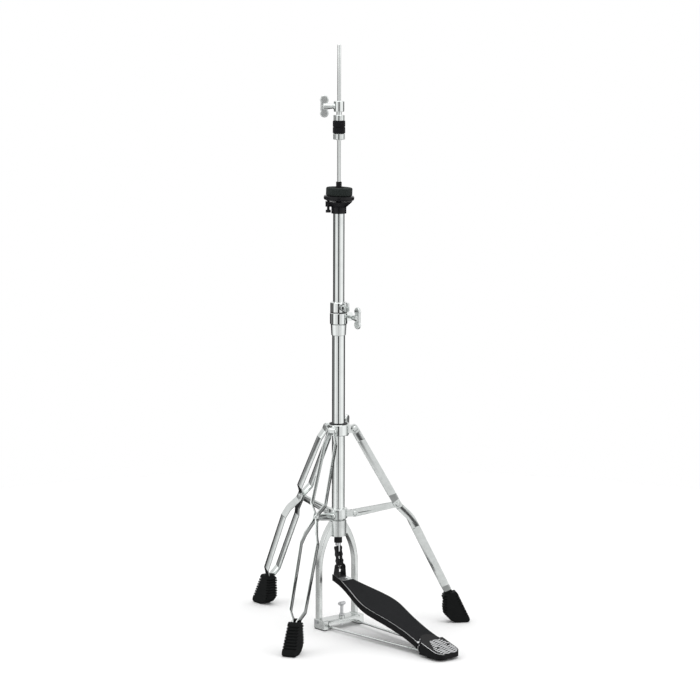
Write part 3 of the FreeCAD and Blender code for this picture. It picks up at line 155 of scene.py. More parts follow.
# ------------------------------------------------------------------ shader maths
class Value:
    """A number in a material, which can be used in sums like any other number."""

    def __init__(self, finish, socket):
        self.finish = finish
        self.socket = socket

    def math(self, operation, first, second):
        """Put two numbers through one Math node."""
        return self.finish.node("ShaderNodeMath", {"operation": operation}, {0: first, 1: second})

    def __add__(self, other):
        return self.math("ADD", self, other)

    def __rsub__(self, other):
        return self.math("SUBTRACT", other, self)

    def __mul__(self, other):
        return self.math("MULTIPLY", self, other)

    def step(self, low, high):
        """0 up to low, 1 from high on and smooth between them; turned round if high is lower."""
        return self.finish.node(
            "ShaderNodeMapRange", {"interpolation_type": "SMOOTHSTEP"},
            {"Value": self, "From Min": low, "From Max": high, "To Min": 0.0, "To Max": 1.0})


class Finish:
    """A surface finish being put together from nodes."""

    def __init__(self, name):
        self.material = bpy.data.materials.new(name)
        self.material.use_nodes = True
        self.tree = self.material.node_tree
        self.shader = next(n for n in self.tree.nodes if n.type == "BSDF_PRINCIPLED")
        self.place = self.tree.nodes.new("ShaderNodeTexCoord").outputs["Object"]

    def feed(self, socket, value):
        """Link a Value or a socket, or set a constant."""
        if isinstance(value, Value):
            self.tree.links.new(value.socket, socket)
        elif isinstance(value, bpy.types.NodeSocket):
            self.tree.links.new(value, socket)
        else:
            socket.default_value = value

    def node(self, kind, options, inputs, output=0):
        """Add any node: its options first, then its sockets."""
        node = self.tree.nodes.new(kind)
        for name, value in options.items():
            setattr(node, name, value)
        for name, value in inputs.items():
            self.feed(node.inputs[name], value)
        return Value(self, node.outputs[output])

    def stretched(self, scale):
        """The piece's own coordinates, stretched along its axes."""
        return self.node("ShaderNodeMapping", {}, {"Vector": self.place, "Scale": scale}).socket

    def noise(self, scale, detail, rough=0.55, place=None):
        """Uneven cloudy numbers about 0.5."""
        return self.node(
            "ShaderNodeTexNoise", {"noise_dimensions": "3D"},
            {"Vector": place or self.place, "Scale": scale, "Detail": detail, "Roughness": rough})

    def cells(self, scale):
        """Distance to the middle of the nearest cell."""
        return self.node(
            "ShaderNodeTexVoronoi", {"feature": "F1"},
            {"Vector": self.place, "Scale": scale}, output="Distance")

    def blend(self, share, first, second):
        """Mix two colours."""
        node = self.tree.nodes.new("ShaderNodeMix")
        node.data_type = "RGBA"
        self.feed(node.inputs["Factor"], share)
        sides = [socket for socket in node.inputs if socket.type == "RGBA"]
        for socket, color in zip(sides, (first, second)):
            self.feed(socket, (*color, 1.0))
        return Value(self, next(socket for socket in node.outputs if socket.type == "RGBA"))

    def bump(self, height, depth, strength):
        """Raise the surface by depth metres where height is 1."""
        return self.node(
            "ShaderNodeBump", {}, {"Height": height, "Distance": depth, "Strength": strength})

    def done(self, **inputs):
        """Set or link the shader's own sockets and give the material."""
        for name, value in inputs.items():
            self.feed(self.shader.inputs[name.replace("_", " ")], value)
        return self.material


def shade(color, amount):
    """A colour made lighter or darker."""
    return tuple(min(1.0, c * amount) for c in color)


def polished_chrome(color):
    f = Finish("polished_chrome")
    smudge = f.noise(55.0, 4.0)
    streak = f.noise(900.0, 2.0, place=f.stretched((1.0, 1.0, 0.06)))
    cloud = smudge.step(0.35, 0.75)
    return f.done(
        Base_Color=f.blend(cloud, shade(color, 1.03), shade(color, 0.96)),
        Metallic=1.0,
        Roughness=cloud * 0.04 + streak * 0.03 + 0.04,
        Normal=f.bump(streak + smudge * 0.6, 0.004 * MM, 0.2))


def cast_wing(color):
    f = Finish("cast_wing")
    skin = f.noise(420.0, 3.0, 0.6)
    cloud = f.noise(90.0, 4.0)
    return f.done(
        Base_Color=f.blend(cloud, shade(color, 1.05), shade(color, 0.88)),
        Metallic=1.0,
        Roughness=cloud * 0.10 + skin * 0.06 + 0.16,
        Normal=f.bump(skin + cloud, 0.05 * MM, 0.4))


def plated_strip(color):
    f = Finish("plated_strip")
    mottle = f.noise(85.0, 5.0, 0.65)
    grain = f.noise(1400.0, 2.0)
    pits = f.cells(420.0).step(0.02, 0.10)
    patch = mottle.step(0.32, 0.70)
    return f.done(
        Base_Color=f.blend(patch, shade(color, 1.04), shade(color, 0.93)),
        Metallic=1.0,
        Roughness=patch * 0.05 + grain * 0.04 + (1.0 - pits) * 0.06 + 0.08,
        Normal=f.bump(mottle * 2.0 + grain * 0.3 + pits * 0.2, 0.03 * MM, 0.4))


def polished_casting(color):
    f = Finish("polished_casting")
    cloud = f.noise(38.0, 5.0, 0.6)
    skin = f.noise(700.0, 3.0, 0.6)
    dimple = f.cells(260.0).step(0.0, 0.45)
    patch = cloud.step(0.30, 0.72)
    return f.done(
        Base_Color=f.blend(patch, shade(color, 1.04), shade(color, 0.90)),
        Metallic=1.0,
        Roughness=patch * 0.08 + skin * 0.08 + 0.17,
        Normal=f.bump(cloud * 1.4 + skin * 0.5 + dimple * 0.3, 0.09 * MM, 0.6))


def turned_steel():
    f = Finish("turned_steel")
    ring = f.noise(2600.0, 2.0, place=f.stretched((0.15, 0.15, 1.0)))
    cloud = f.noise(120.0, 4.0)
    return f.done(
        Base_Color=f.blend(cloud, (0.46, 0.47, 0.48), (0.66, 0.67, 0.68)),
        Metallic=1.0, Roughness=ring * 0.18 + cloud * 0.12 + 0.16,
        Normal=f.bump(ring, 0.03 * MM, 0.5))


def blackened_steel():
    f = Finish("blackened_steel")
    cloud = f.noise(420.0, 4.0, 0.6)
    worn = f.noise(900.0, 3.0).step(0.58, 0.72)
    return f.done(
        Base_Color=f.blend(worn * 0.6, (0.008, 0.008, 0.009), (0.10, 0.10, 0.105)),
        Metallic=0.3, Specular_IOR_Level=0.3, Roughness=cloud * 0.22 + 0.30,
        Normal=f.bump(cloud, 0.06 * MM, 0.5))


def spring_wire():
    f = Finish("spring_wire")
    scale = f.noise(1500.0, 3.0)
    return f.done(
        Base_Color=f.blend(scale, (0.20, 0.20, 0.205), (0.38, 0.38, 0.385)),
        Metallic=1.0, Roughness=scale * 0.2 + 0.26,
        Normal=f.bump(scale, 0.02 * MM, 0.5))


def black_paint(color):
    f = Finish("black_paint")
    peel = f.noise(620.0, 2.0)
    dust = f.noise(2400.0, 2.0).step(0.66, 0.78)
    cloud = f.noise(40.0, 4.0)
    return f.done(
        Base_Color=f.blend(dust * 0.25 + cloud * 0.25, color, shade(color, 2.0)),
        Metallic=0.0, Roughness=cloud * 0.14 + peel * 0.10 + 0.30,
        Specular_IOR_Level=0.10,
        Normal=f.bump(peel, 0.05 * MM, 0.5))


def bright_rim(name="bright_rim"):
    f = Finish(name)
    brushed = f.noise(1300.0, 3.0, place=f.stretched((1.0, 0.08, 1.0)))
    cloud = f.noise(60.0, 4.0)
    return f.done(
        Base_Color=f.blend(cloud, (0.74, 0.75, 0.76), (0.90, 0.91, 0.92)),
        Metallic=1.0, Roughness=brushed * 0.16 + cloud * 0.08 + 0.20,
        Normal=f.bump(brushed, 0.03 * MM, 0.5))


def grip_mat(color):
    f = Finish("grip_mat")
    grit = f.cells(950.0)
    fine = f.noise(2600.0, 3.0, 0.65)
    cloud = f.noise(30.0, 4.0)
    tips = grit.step(0.55, 0.1)
    return f.done(
        Base_Color=f.blend(tips * 0.35 + cloud * 0.3, color, shade(color, 2.1)),
        Metallic=0.0, Roughness=fine * 0.18 + 0.66,
        Specular_IOR_Level=0.07,
        Normal=f.bump(tips + fine * 0.5, 0.22 * MM, 0.9))


def ribbed_rubber(color, name="ribbed_rubber"):
    f = Finish(name)
    bloom = f.noise(95.0, 5.0, 0.6)
    skin = f.noise(1900.0, 3.0, 0.6)
    scuff = f.noise(260.0, 4.0, 0.7).step(0.60, 0.80)
    return f.done(
        Base_Color=f.blend(bloom * 0.35 + scuff * 0.25, color, shade(color, 3.4)),
        Metallic=0.0, Roughness=bloom * 0.14 + skin * 0.12 + 0.50,
        Specular_IOR_Level=0.07,
        Normal=f.bump(skin + bloom * 0.5, 0.08 * MM, 0.6))


def moulded_nylon(name="moulded_nylon"):
    f = Finish(name)
    skin = f.noise(1500.0, 3.0)
    cloud = f.noise(140.0, 3.0)
    return f.done(
        Base_Color=f.blend(cloud, (0.006, 0.006, 0.007), (0.018, 0.018, 0.019)),
        Metallic=0.0, Specular_IOR_Level=0.10, Roughness=skin * 0.16 + cloud * 0.10 + 0.36,
        Normal=f.bump(skin, 0.04 * MM, 0.5))


def gloss_moulding():
    f = Finish("gloss_moulding")
    swirl = f.noise(70.0, 4.0)
    scuff = f.noise(1800.0, 2.0, place=f.stretched((1.0, 0.12, 1.0))).step(0.62, 0.75)
    return f.done(
        Base_Color=f.blend(swirl, (0.004, 0.004, 0.005), (0.012, 0.012, 0.013)),
        Metallic=0.0, Roughness=swirl * 0.08 + scuff * 0.14 + 0.12,
        Specular_IOR_Level=0.14, Coat_Weight=0.06, Coat_Roughness=0.06,
        Normal=f.bump(swirl + scuff * 0.2, 0.03 * MM, 0.3))


def pressed_felt(color, name):
    f = Finish(name)
    fibre = f.noise(1700.0, 6.0, 0.75)
    clump = f.noise(420.0, 5.0, 0.7)
    strand = f.noise(2600.0, 3.0, 0.6, place=f.stretched((1.0, 0.2, 1.0)))
    tufts = clump.step(0.30, 0.72) * 0.7 + strand * 0.3
    return f.done(
        Base_Color=f.blend(tufts, shade(color, 0.65), shade(color, 2.3)),
        Metallic=0.0, Roughness=fibre * 0.08 + 0.88,
        Specular_IOR_Level=0.05, Sheen_Weight=0.05, Sheen_Roughness=0.5,
        Normal=f.bump(fibre + clump * 1.3 + strand * 0.5, 0.55 * MM, 0.9))


# ------------------------------------------------------------------ modelling helpers
def nothing_selected():
    if bpy.context.object and bpy.context.object.mode != "OBJECT":
        bpy.ops.object.mode_set(mode="OBJECT")
    bpy.ops.object.select_all(action="DESELECT")


def pick(piece):
    """Make one object the only selected and the active one."""
    nothing_selected()
    piece.select_set(True)
    bpy.context.view_layer.objects.active = piece


def named(name):
    """Name the object just made, and its mesh."""
    piece = bpy.context.object
    piece.name = name
    piece.data.name = name
    return piece


def settle(piece):
    """Put the piece's place into its mesh, so its object sits at the origin."""
    pick(piece)
    bpy.ops.object.transform_apply(location=True, rotation=True, scale=True)


def select_faces(piece, test):
    """In edit mode, select only the faces whose middle and normal pass the test."""
    pick(piece)
    bpy.ops.object.mode_set(mode="EDIT")
    bpy.ops.mesh.select_mode(type="FACE")
    bpy.ops.mesh.select_all(action="DESELECT")
    bpy.ops.object.mode_set(mode="OBJECT")
    for face in piece.data.polygons:
        face.select = test(face.center, face.normal)
    bpy.ops.object.mode_set(mode="EDIT")


def select_edges(piece, test):
    """In edit mode, select only the edges whose middle and both ends pass the test."""
    pick(piece)
    bpy.ops.object.mode_set(mode="EDIT")
    bpy.ops.mesh.select_mode(type="EDGE")
    bpy.ops.mesh.select_all(action="DESELECT")
    bpy.ops.object.mode_set(mode="OBJECT")
    corners = piece.data.vertices
    for edge in piece.data.edges:
        first, second = (corners[index].co for index in edge.vertices)
        edge.select = all(test(place) for place in ((first + second) / 2, first, second))
    bpy.ops.object.mode_set(mode="EDIT")


def apply_modifier(piece, kind, **options):
    """Add one modifier with its options and apply it."""
    pick(piece)
    modifier = piece.modifiers.new(kind.lower(), kind)
    for name, value in options.items():
        setattr(modifier, name, value)
    bpy.ops.object.modifier_apply(modifier=modifier.name)


def smooth_by_angle(piece, degrees):
    pick(piece)
    bpy.ops.object.shade_smooth_by_angle(angle=math.radians(degrees))


# How close a CAD mesh's corners are to be merged, and how flat faces are to be joined.
MERGE_WITHIN = 0.002 * MM
FLAT_WITHIN = math.radians(0.6)


def copy_of_node(node, name):
    """A merged copy of a CAD node's mesh, with flat faces made whole."""
    piece = bpy.data.objects.new(name, frame["nodes"][node].data.copy())
    bpy.context.scene.collection.objects.link(piece)
    piece.data.materials.clear()
    pick(piece)
    bpy.ops.object.mode_set(mode="EDIT")
    bpy.ops.mesh.select_all(action="SELECT")
    bpy.ops.mesh.remove_doubles(threshold=MERGE_WITHIN)
    bpy.ops.mesh.dissolve_limited(angle_limit=FLAT_WITHIN)
    bpy.ops.mesh.normals_make_consistent(inside=False)
    bpy.ops.mesh.customdata_custom_splitnormals_clear()
    bpy.ops.object.mode_set(mode="OBJECT")
    return piece


def own_copy(piece, name):
    """A copy with its own mesh."""
    twin = bpy.data.objects.new(name, piece.data.copy())
    bpy.context.scene.collection.objects.link(twin)
    return twin


def dress(piece, finish):
    piece.data.materials.clear()
    piece.data.materials.append(finish)


def coat_node(node, finish):
    """Give a carried-over CAD node a finish."""
    mesh = frame["nodes"][node].data
    if not mesh.materials:
        mesh.materials.append(finish)
    for index in range(len(mesh.materials)):
        mesh.materials[index] = finish


def settings(name):
    return getattr(bpy.context.scene, name)


# ------------------------------------------------------------------ pieces
# How near to a felt's rim, to its flat face and to its side a place counts as on it.
RIM_SLACK = 0.3 * MM
FACE_SLACK = 0.01 * MM
SIDE_SLACK = 1.0 * MM
# Size of the felt's clumps and fibres.
CLUMP_SIZE = 3.2 * MM
FIBRE_SIZE = 1.0 * MM


def felt_washer(name, middle, radius, hole, thick, rim, fuzz):
    """A felt washer round a vertical axis, with a hole, rounded rims and an uneven skin."""
    nothing_selected()
    bpy.ops.mesh.primitive_cylinder_add(
        vertices=96, radius=radius, depth=thick, end_fill_type="NGON", location=middle)
    piece = named(name)
    settle(piece)
    select_faces(piece, lambda centre, normal: abs(normal.z) > 0.9)
    bpy.ops.mesh.inset(thickness=radius - hole, use_even_offset=True)
    bpy.ops.mesh.bridge_edge_loops()
    select_edges(piece, lambda centre: math.dist(centre.xy, middle.xy) > radius - RIM_SLACK
                 and abs(centre.z - middle.z) > thick / 2 - FACE_SLACK)
    bpy.ops.mesh.bevel(offset=rim, segments=5, profile=0.5)
    select_faces(piece, lambda centre, normal: math.dist(centre.xy, middle.xy) < radius - rim)
    bpy.ops.mesh.subdivide(number_cuts=3)
    select_faces(piece, lambda centre, normal: abs(normal.z) < 0.1
                 and math.dist(centre.xy, middle.xy) > radius - SIDE_SLACK)
    bpy.ops.mesh.subdivide(number_cuts=3)
    bpy.ops.object.mode_set(mode="OBJECT")
    apply_modifier(piece, "SUBSURF", levels=1, render_levels=1)
    roughen(piece, fuzz, CLUMP_SIZE, name + "_clumps")
    roughen(piece, fuzz * 0.5, FIBRE_SIZE, name + "_fibres")
    smooth_by_angle(piece, 60)
    return piece


def roughen(piece, depth, size, name):
    """Push the skin in and out by an uneven amount."""
    texture = bpy.data.textures.new(name, "CLOUDS")
    texture.noise_scale = size
    texture.noise_depth = 2
    apply_modifier(piece, "DISPLACE", texture=texture, strength=depth, mid_level=0.75,
                   texture_coords="LOCAL", direction="NORMAL")


# The seat's felt, and its lean: the seat tilts about a level line, turned this far from +Y.
SEAT_FELT_R = 25.8 * MM
SEAT_FELT_HOLE_R = 8.8 * MM
SEAT_FELT_THICK = 15.6 * MM
SEAT_LEAN_TURN = math.radians(141.1)
SEAT_LEAN = math.radians(2.0)


class MakeSeatFelt(bpy.types.Operator):
    """Thick felt washer on the tilting cymbal seat"""

    bl_idname = "hihat.seat_felt"
    bl_label = "Seat felt"

    def execute(self, context):
        wanted = settings("hihat_felts")
        low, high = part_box("seat_felt")
        middle = (Vector(low) + Vector(high)) / 2
        piece = felt_washer("seat_felt_pad", middle, SEAT_FELT_R, SEAT_FELT_HOLE_R,
                            SEAT_FELT_THICK, wanted.edge_round, wanted.fuzz)
        axis = Vector((math.sin(SEAT_LEAN_TURN), -math.cos(SEAT_LEAN_TURN), 0.0))
        piece.matrix_world = (Matrix.Translation(middle) @ Matrix.Rotation(SEAT_LEAN, 4, axis)
                              @ Matrix.Translation(-middle))
        settle(piece)
        dress(piece, pressed_felt(wanted.seat_color, "seat_felt_wool"))
        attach(piece, "seat")
        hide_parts("seat_felt")
        return {"FINISHED"}


# The clutch's two felts: the gap between them, their hole and their rims.
CLUTCH_FELT_GAP = 0.3 * MM
CLUTCH_FELT_HOLE_R = 5.3 * MM
CLUTCH_FELT_RIM = 1.4 * MM
CLUTCH_FUZZ_SHARE = 0.7


class MakeClutchFelts(bpy.types.Operator):
    """The two thin felts on the clutch, which grip the upper cymbal"""

    bl_idname = "hihat.clutch_felts"
    bl_label = "Clutch felts"

    def execute(self, context):
        wanted = settings("hihat_felts")
        low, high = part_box("clutch_felts")
        thick = (high.z - low.z - CLUTCH_FELT_GAP) / 2
        radius = (high.x - low.x) / 2
        wool = pressed_felt(wanted.clutch_color, "clutch_felt_wool")
        first = None
        for name, height in (("clutch_felt_lower", low.z + thick / 2),
                             ("clutch_felt_upper", high.z - thick / 2)):
            middle = TUBE_AXIS + Vector((0, 0, height))
            piece = felt_washer(name, middle, radius, CLUTCH_FELT_HOLE_R, thick,
                                CLUTCH_FELT_RIM, wanted.fuzz * CLUTCH_FUZZ_SHARE)
            dress(piece, wool)
            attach(piece, "clutch")
            first = first or piece
        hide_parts("clutch_felts")
        return {"FINISHED"}


FOOT_EDGE_R = 0.5 * MM


class MakeRubberFeet(bpy.types.Operator):
    """Grooved rubber feet on the three legs"""

    bl_idname = "hihat.rubber_feet"
    bl_label = "Rubber feet"

    def execute(self, context):
        wanted = settings("hihat_rubber")
        rubber = ribbed_rubber(wanted.color)
        bars = groove_bars(wanted.groove_width, wanted.groove_depth)
        for name, degrees in LEG_ANGLES.items():
            foot = copy_of_node("rubber_foot_" + name, "grooved_foot_" + name)
            cutter = own_copy(bars, "foot_cutter")
            cutter.matrix_world = (Matrix.Translation(TUBE_AXIS)
                                   @ Matrix.Rotation(math.radians(degrees), 4, "Z"))
            settle(cutter)
            apply_modifier(foot, "BOOLEAN", object=cutter, operation="DIFFERENCE", solver="EXACT")
            bpy.data.objects.remove(cutter)
            apply_modifier(foot, "BEVEL", width=FOOT_EDGE_R, segments=3, limit_method="ANGLE",
                           angle_limit=math.radians(40), use_clamp_overlap=True)
            smooth_by_angle(foot, 40)
            dress(foot, rubber)
            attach(foot, "leg_" + name)
            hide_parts("rubber_foot_" + name)
        bpy.data.objects.remove(bars)
        return {"FINISHED"}


# A rubber foot whose leg points along +X, in millimetres from the tubes' axis and the floor.
FOOT_HALF_WIDTH = 13.25
FOOT_NARROWING = 2.75
FOOT_NARROWS_FROM_Z = 14.0
FOOT_NARROWS_OVER = 50.5
FOOT_OUTER_R = 263.0
FOOT_OUTER_Z = 10.0
FOOT_OUTER_SLOPE = (23.0, 48.5)
FOOT_INNER_R = 211.5
FOOT_INNER_LOW_R = 213.0
FOOT_INNER_LOW_Z = 20
GROOVE_COUNT = 8
GROOVE_FIRST_Z = 15.5
GROOVE_PITCH = 5.4
# The bars reach past the foot's sides; each side bar starts a little inside its face.
BAR_ACROSS = 60.0
OUTER_BAR_INSET, OUTER_BAR_DEEP = 2.5, 9.0
INNER_BAR_INSET, INNER_BAR_DEEP = 2.0, 8.0


def foot_half_width(height):
    """Half the foot's width at a height, in millimetres."""
    above = max(0.0, height - FOOT_NARROWS_FROM_Z)
    return FOOT_HALF_WIDTH - FOOT_NARROWING * above / FOOT_NARROWS_OVER


def groove_bars(width, depth):
    """The bars that cut the grooves of a foot whose leg points along +X, as one mesh."""
    bars = []
    cut = 2 * depth / MM
    run, rise = FOOT_OUTER_SLOPE
    for step in range(GROOVE_COUNT):
        height = GROOVE_FIRST_Z + GROOVE_PITCH * step
        half = foot_half_width(height)
        outer = FOOT_OUTER_R - run * (height - FOOT_OUTER_Z) / rise
        inner = FOOT_INNER_R if height > FOOT_INNER_LOW_Z else FOOT_INNER_LOW_R
        bars.append((outer, 0.0, height, cut, BAR_ACROSS))
        bars.append((inner, 0.0, height, cut, BAR_ACROSS))
        for side in (1, -1):
            bars.append((outer - OUTER_BAR_INSET, side * half, height, OUTER_BAR_DEEP, cut))
            bars.append((inner + INNER_BAR_INSET, side * half, height, INNER_BAR_DEEP, cut))
    whole = None
    for radius, across, height, deep, wide in bars:
        nothing_selected()
        bpy.ops.mesh.primitive_cube_add(size=1.0, location=(radius * MM, across * MM, height * MM),
                                        scale=(deep * MM, wide * MM, width))
        bar = named("groove_bar")
        settle(bar)
        if whole is None:
            whole = bar
            continue
        apply_modifier(whole, "BOOLEAN", object=bar, operation="UNION", solver="EXACT")
        bpy.data.objects.remove(bar)
    return whole


# How far each node's edges are rounded, in millimetres.
SOFT_EDGES = {
    "height_clamp": 0.5, "memory_lock": 0.4, "memory_lock_bolt": 0.3,
    "leg_collar": 0.5, "stay_collar": 0.5,
    "leg_bar_left_front_right": 0.4, "leg_bar_right_front_right": 0.4,
    "leg_bar_left_front_left": 0.4, "leg_bar_right_front_left": 0.4,
    "leg_bar_left_rear": 0.4, "leg_bar_right_rear": 0.4,
    "stay_front_right": 0.35, "stay_front_left": 0.35, "stay_rear": 0.35,
    "base_plate": 0.5, "clutch_body": 0.4, "clutch_upper_nut": 0.5, "clutch_lower_nut": 0.5,
    "thumb_bolt": 0.3, "rod_clevis": 0.3, "chain_anchor": 0.3, "seat_base": 0.5,
    "heel_plate": 0.5,
}
# These keep plain smoothed normals, which shade their flat faces as a soft gradient.
PLAIN_NORMALS = ("leg_bar", "stay_front", "stay_rear")


class SoftenEdges(bpy.types.Operator):
    """Small rounded edges on the stamped, cast and turned pieces"""

    bl_idname = "hihat.soft_edges"
    bl_label = "Soft edges"

    def execute(self, context):
        bodies = frame["record"]["behaviour"]["bodies"]
        body_of = {node: body for body, nodes in bodies.items() for node in nodes}
        for node, width in SOFT_EDGES.items():
            finish = frame["nodes"][node].data.materials[0]
            piece = copy_of_node(node, "soft_" + node)
            apply_modifier(piece, "BEVEL", width=width * MM, segments=2, limit_method="ANGLE",
                           angle_limit=math.radians(38), use_clamp_overlap=True)
            smooth_by_angle(piece, 35)
            if not node.startswith(PLAIN_NORMALS):
                apply_modifier(piece, "WEIGHTED_NORMAL", keep_sharp=True, weight=100)
            dress(piece, finish)
            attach(piece, body_of[node])
            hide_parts(node)
        return {"FINISHED"}


# The wings are rebuilt from cubes this wide, then smoothed by this share in each round.
WING_CUBE = 0.45 * MM
WING_SMOOTHING = 0.6


class MakeWings(bpy.types.Operator):
    """Cast wing bolts with softly rounded wings"""

    bl_idname = "hihat.wings"
    bl_label = "Wing bolts"

    def execute(self, context):
        wanted = settings("hihat_metal")
        cast = cast_wing(wanted.chrome)
        for node, body in (("clutch_wing_bolt", "clutch_wing"), ("clamp_wing_bolt", "clamp_wing"),
                           ("collar_wing_bolt", "collar_wing")):
            wing = copy_of_node(node, "cast_" + node)
            apply_modifier(wing, "REMESH", mode="VOXEL", voxel_size=WING_CUBE, adaptivity=0.0)
            apply_modifier(wing, "SMOOTH", factor=WING_SMOOTHING, iterations=wanted.wing_softness)
            smooth_by_angle(wing, 50)
            dress(wing, cast)
            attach(wing, body)
            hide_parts(node)
        return {"FINISHED"}


def tube_along(name, points, radius):
    """A round bead along a line of points, made a mesh."""
    nothing_selected()
    curve = bpy.data.curves.new(name, "CURVE")
    curve.dimensions = "3D"
    curve.bevel_depth = radius
    curve.bevel_resolution = 3
    curve.use_fill_caps = True
    line = curve.splines.new("POLY")
    line.points.add(len(points) - 1)
    for point, place in zip(line.points, points):
        point.co = (*place, 1.0)
    piece = bpy.data.objects.new(name, curve)
    bpy.context.scene.collection.objects.link(piece)
    pick(piece)
    bpy.ops.object.convert(target="MESH")
    piece = bpy.context.object
    smooth_by_angle(piece, 60)
    return piece


# The heel plate's sloping top: its height at the plate's end and how much it rises per length.
HEEL_END_Z = 13.4 * MM
HEEL_SLOPE = 0.28148
# How high the middle of the ribs, the screws and the bright edge line lies over the top.
RIB_LIFT = 0.10 * MM
SCREW_LIFT = 0.25 * MM
EDGE_SINK = 0.15 * MM
# The ribs lie between these distances from the plate's end; points along them are this close.
RIB_FIRST_BACK = 50.5 * MM
RIB_LAST_BACK = 3.0 * MM
RIB_STEP = 0.8 * MM
RIB_SCREW_ROOM = 3.4 * MM
# The screws: sideways place and distance from the plate's end.
SCREW_PLACES = ((-8.9 * MM, 26.4 * MM), (19.6 * MM, 31.1 * MM))
SCREW_R = 2.3 * MM
SCREW_HEIGHT = 1.2 * MM
SOCKET_INSET = 1.0 * MM
SOCKET_DEPTH = 0.5 * MM
SCREW_EDGE_R = 0.2 * MM
# The bright edge line: a straight run up the left side, then round the corner by the plate's end.
EDGE_LEFT_X = -28.7 * MM
EDGE_STRAIGHT_BACKS = (52.0, 36.0, 19.0)
EDGE_CORNER_X = -11.7 * MM
EDGE_CORNER_BACK = 17.3 * MM
EDGE_CORNER_STEPS = 8
EDGE_R = 0.45 * MM
# The plate's outline round the ribs, in millimetres.
HEEL_CORNER_R = 17.0
RIB_LEFT, RIB_LEFT_TAPER, RIB_LEFT_FROM, RIB_LEFT_OVER = -22.0, 14.0, 24.0, 27.0
RIB_RIGHT, RIB_RIGHT_TAPER, RIB_RIGHT_FROM, RIB_RIGHT_OVER = 26.0, 9.0, 34.0, 17.0


def heel_top(y):
    """Height of the heel plate's sloping top at a place along it, in metres."""
    low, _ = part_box("heel_plate")
    return HEEL_END_Z + HEEL_SLOPE * (y - low.y)


class MakeHeelRibs(bpy.types.Operator):
    """Wavy anti-slip ribs, the two screws and the bright metal edge line on the heel plate"""

    bl_idname = "hihat.heel_ribs"
    bl_label = "Heel ribs"

    def execute(self, context):
        wanted = settings("hihat_heel")
        low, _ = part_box("heel_plate")
        screws = [Vector((x, low.y + back, 0)) for x, back in SCREW_PLACES]
        make_ribs(wanted, low.y, screws)
        make_screws(screws)
        make_bright_edge(low.y)
        return {"FINISHED"}


def make_ribs(wanted, end, screws):
    """Wavy ribs across the heel plate, joined into one piece."""
    ribs = []
    y = end + RIB_FIRST_BACK
    while y > end + RIB_LAST_BACK:
        left, right = rib_ends(y - end)
        points = []
        steps = int((right - left) / RIB_STEP)
        for index in range(steps + 1):
            x = left + (right - left) * index / steps
            wave = math.sin(x / wanted.rib_wave * 2 * math.pi) * wanted.rib_swing
            points.append(Vector((x, y + wave, heel_top(y + wave) + RIB_LIFT)))
        for run in clear_runs(points, screws, RIB_SCREW_ROOM):
            ribs.append(tube_along("rib", run, wanted.rib_width / 2))
        y -= wanted.rib_pitch
    nothing_selected()
    for rib in ribs:
        rib.select_set(True)
    bpy.context.view_layer.objects.active = ribs[0]
    bpy.ops.object.join()
    piece = named("heel_grip_ribs")
    dress(piece, ribbed_rubber(wanted.rib_color, "grey_grip_rubber"))
    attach(piece, "frame")


def make_screws(screws):
    """Socket-headed screws, square to the sloping top."""
    socket = moulded_nylon("screw_black")
    for index, place in enumerate(screws):
        nothing_selected()
        bpy.ops.mesh.primitive_cylinder_add(
            vertices=48, radius=SCREW_R, depth=SCREW_HEIGHT,
            location=(place.x, place.y, heel_top(place.y) + SCREW_LIFT),
            rotation=(math.atan(HEEL_SLOPE), 0, 0))
        screw = named("heel_screw_%d" % (index + 1))
        settle(screw)
        select_faces(screw, lambda centre, normal: normal.z > 0.9)
        bpy.ops.mesh.inset(thickness=SOCKET_INSET)
        bpy.ops.mesh.extrude_region_move(TRANSFORM_OT_translate={"value": (0, 0, -SOCKET_DEPTH)})
        bpy.ops.object.mode_set(mode="OBJECT")
        apply_modifier(screw, "BEVEL", width=SCREW_EDGE_R, segments=2, limit_method="ANGLE")
        smooth_by_angle(screw, 40)
        dress(screw, socket)
        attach(screw, "frame")


def make_bright_edge(end):
    """A thin line of bright metal along the heel plate's left edge and round the corner by its
    end.
    """
    places = [(EDGE_LEFT_X, end + back * MM) for back in EDGE_STRAIGHT_BACKS]
    reach = HEEL_CORNER_R * MM
    for step in range(1, EDGE_CORNER_STEPS):
        turn = math.pi / 2 * step / EDGE_CORNER_STEPS
        places.append((EDGE_CORNER_X - reach * math.cos(turn),
                       end + EDGE_CORNER_BACK - reach * math.sin(turn)))
    line = [Vector((x, y, heel_top(y) - EDGE_SINK)) for x, y in places]
    edge = tube_along("heel_bright_edge", line, EDGE_R)
    dress(edge, bright_rim("bright_heel_edge"))
    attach(edge, "frame")


def rib_ends(back):
    """Where a rib begins and ends, for its distance from the heel plate's end."""
    depth = back / MM
    corner = max(0.0, HEEL_CORNER_R - depth)
    inset = HEEL_CORNER_R - math.sqrt(max(0.0, HEEL_CORNER_R ** 2 - corner ** 2))
    left = RIB_LEFT + RIB_LEFT_TAPER * max(0.0, depth - RIB_LEFT_FROM) / RIB_LEFT_OVER + inset
    right = RIB_RIGHT - RIB_RIGHT_TAPER * max(0.0, depth - RIB_RIGHT_FROM) / RIB_RIGHT_OVER - inset
    return left * MM, right * MM


# A run of a rib needs more points than this.
SHORTEST_RUN = 3


def clear_runs(points, screws, room):
    """The parts of a line that stay clear of the screws."""
    runs = [[]]
    for point in points:
        if min(math.dist(point.xy, screw.xy) for screw in screws) > room:
            runs[-1].append(point)
        elif runs[-1]:
            runs.append([])
    return [run for run in runs if len(run) > SHORTEST_RUN]


# The footboard's bare bright rim: its faces that look up and lie above this height.
RIM_ABOVE_Z = 0.024
RIM_LOOKS_UP = 0.5


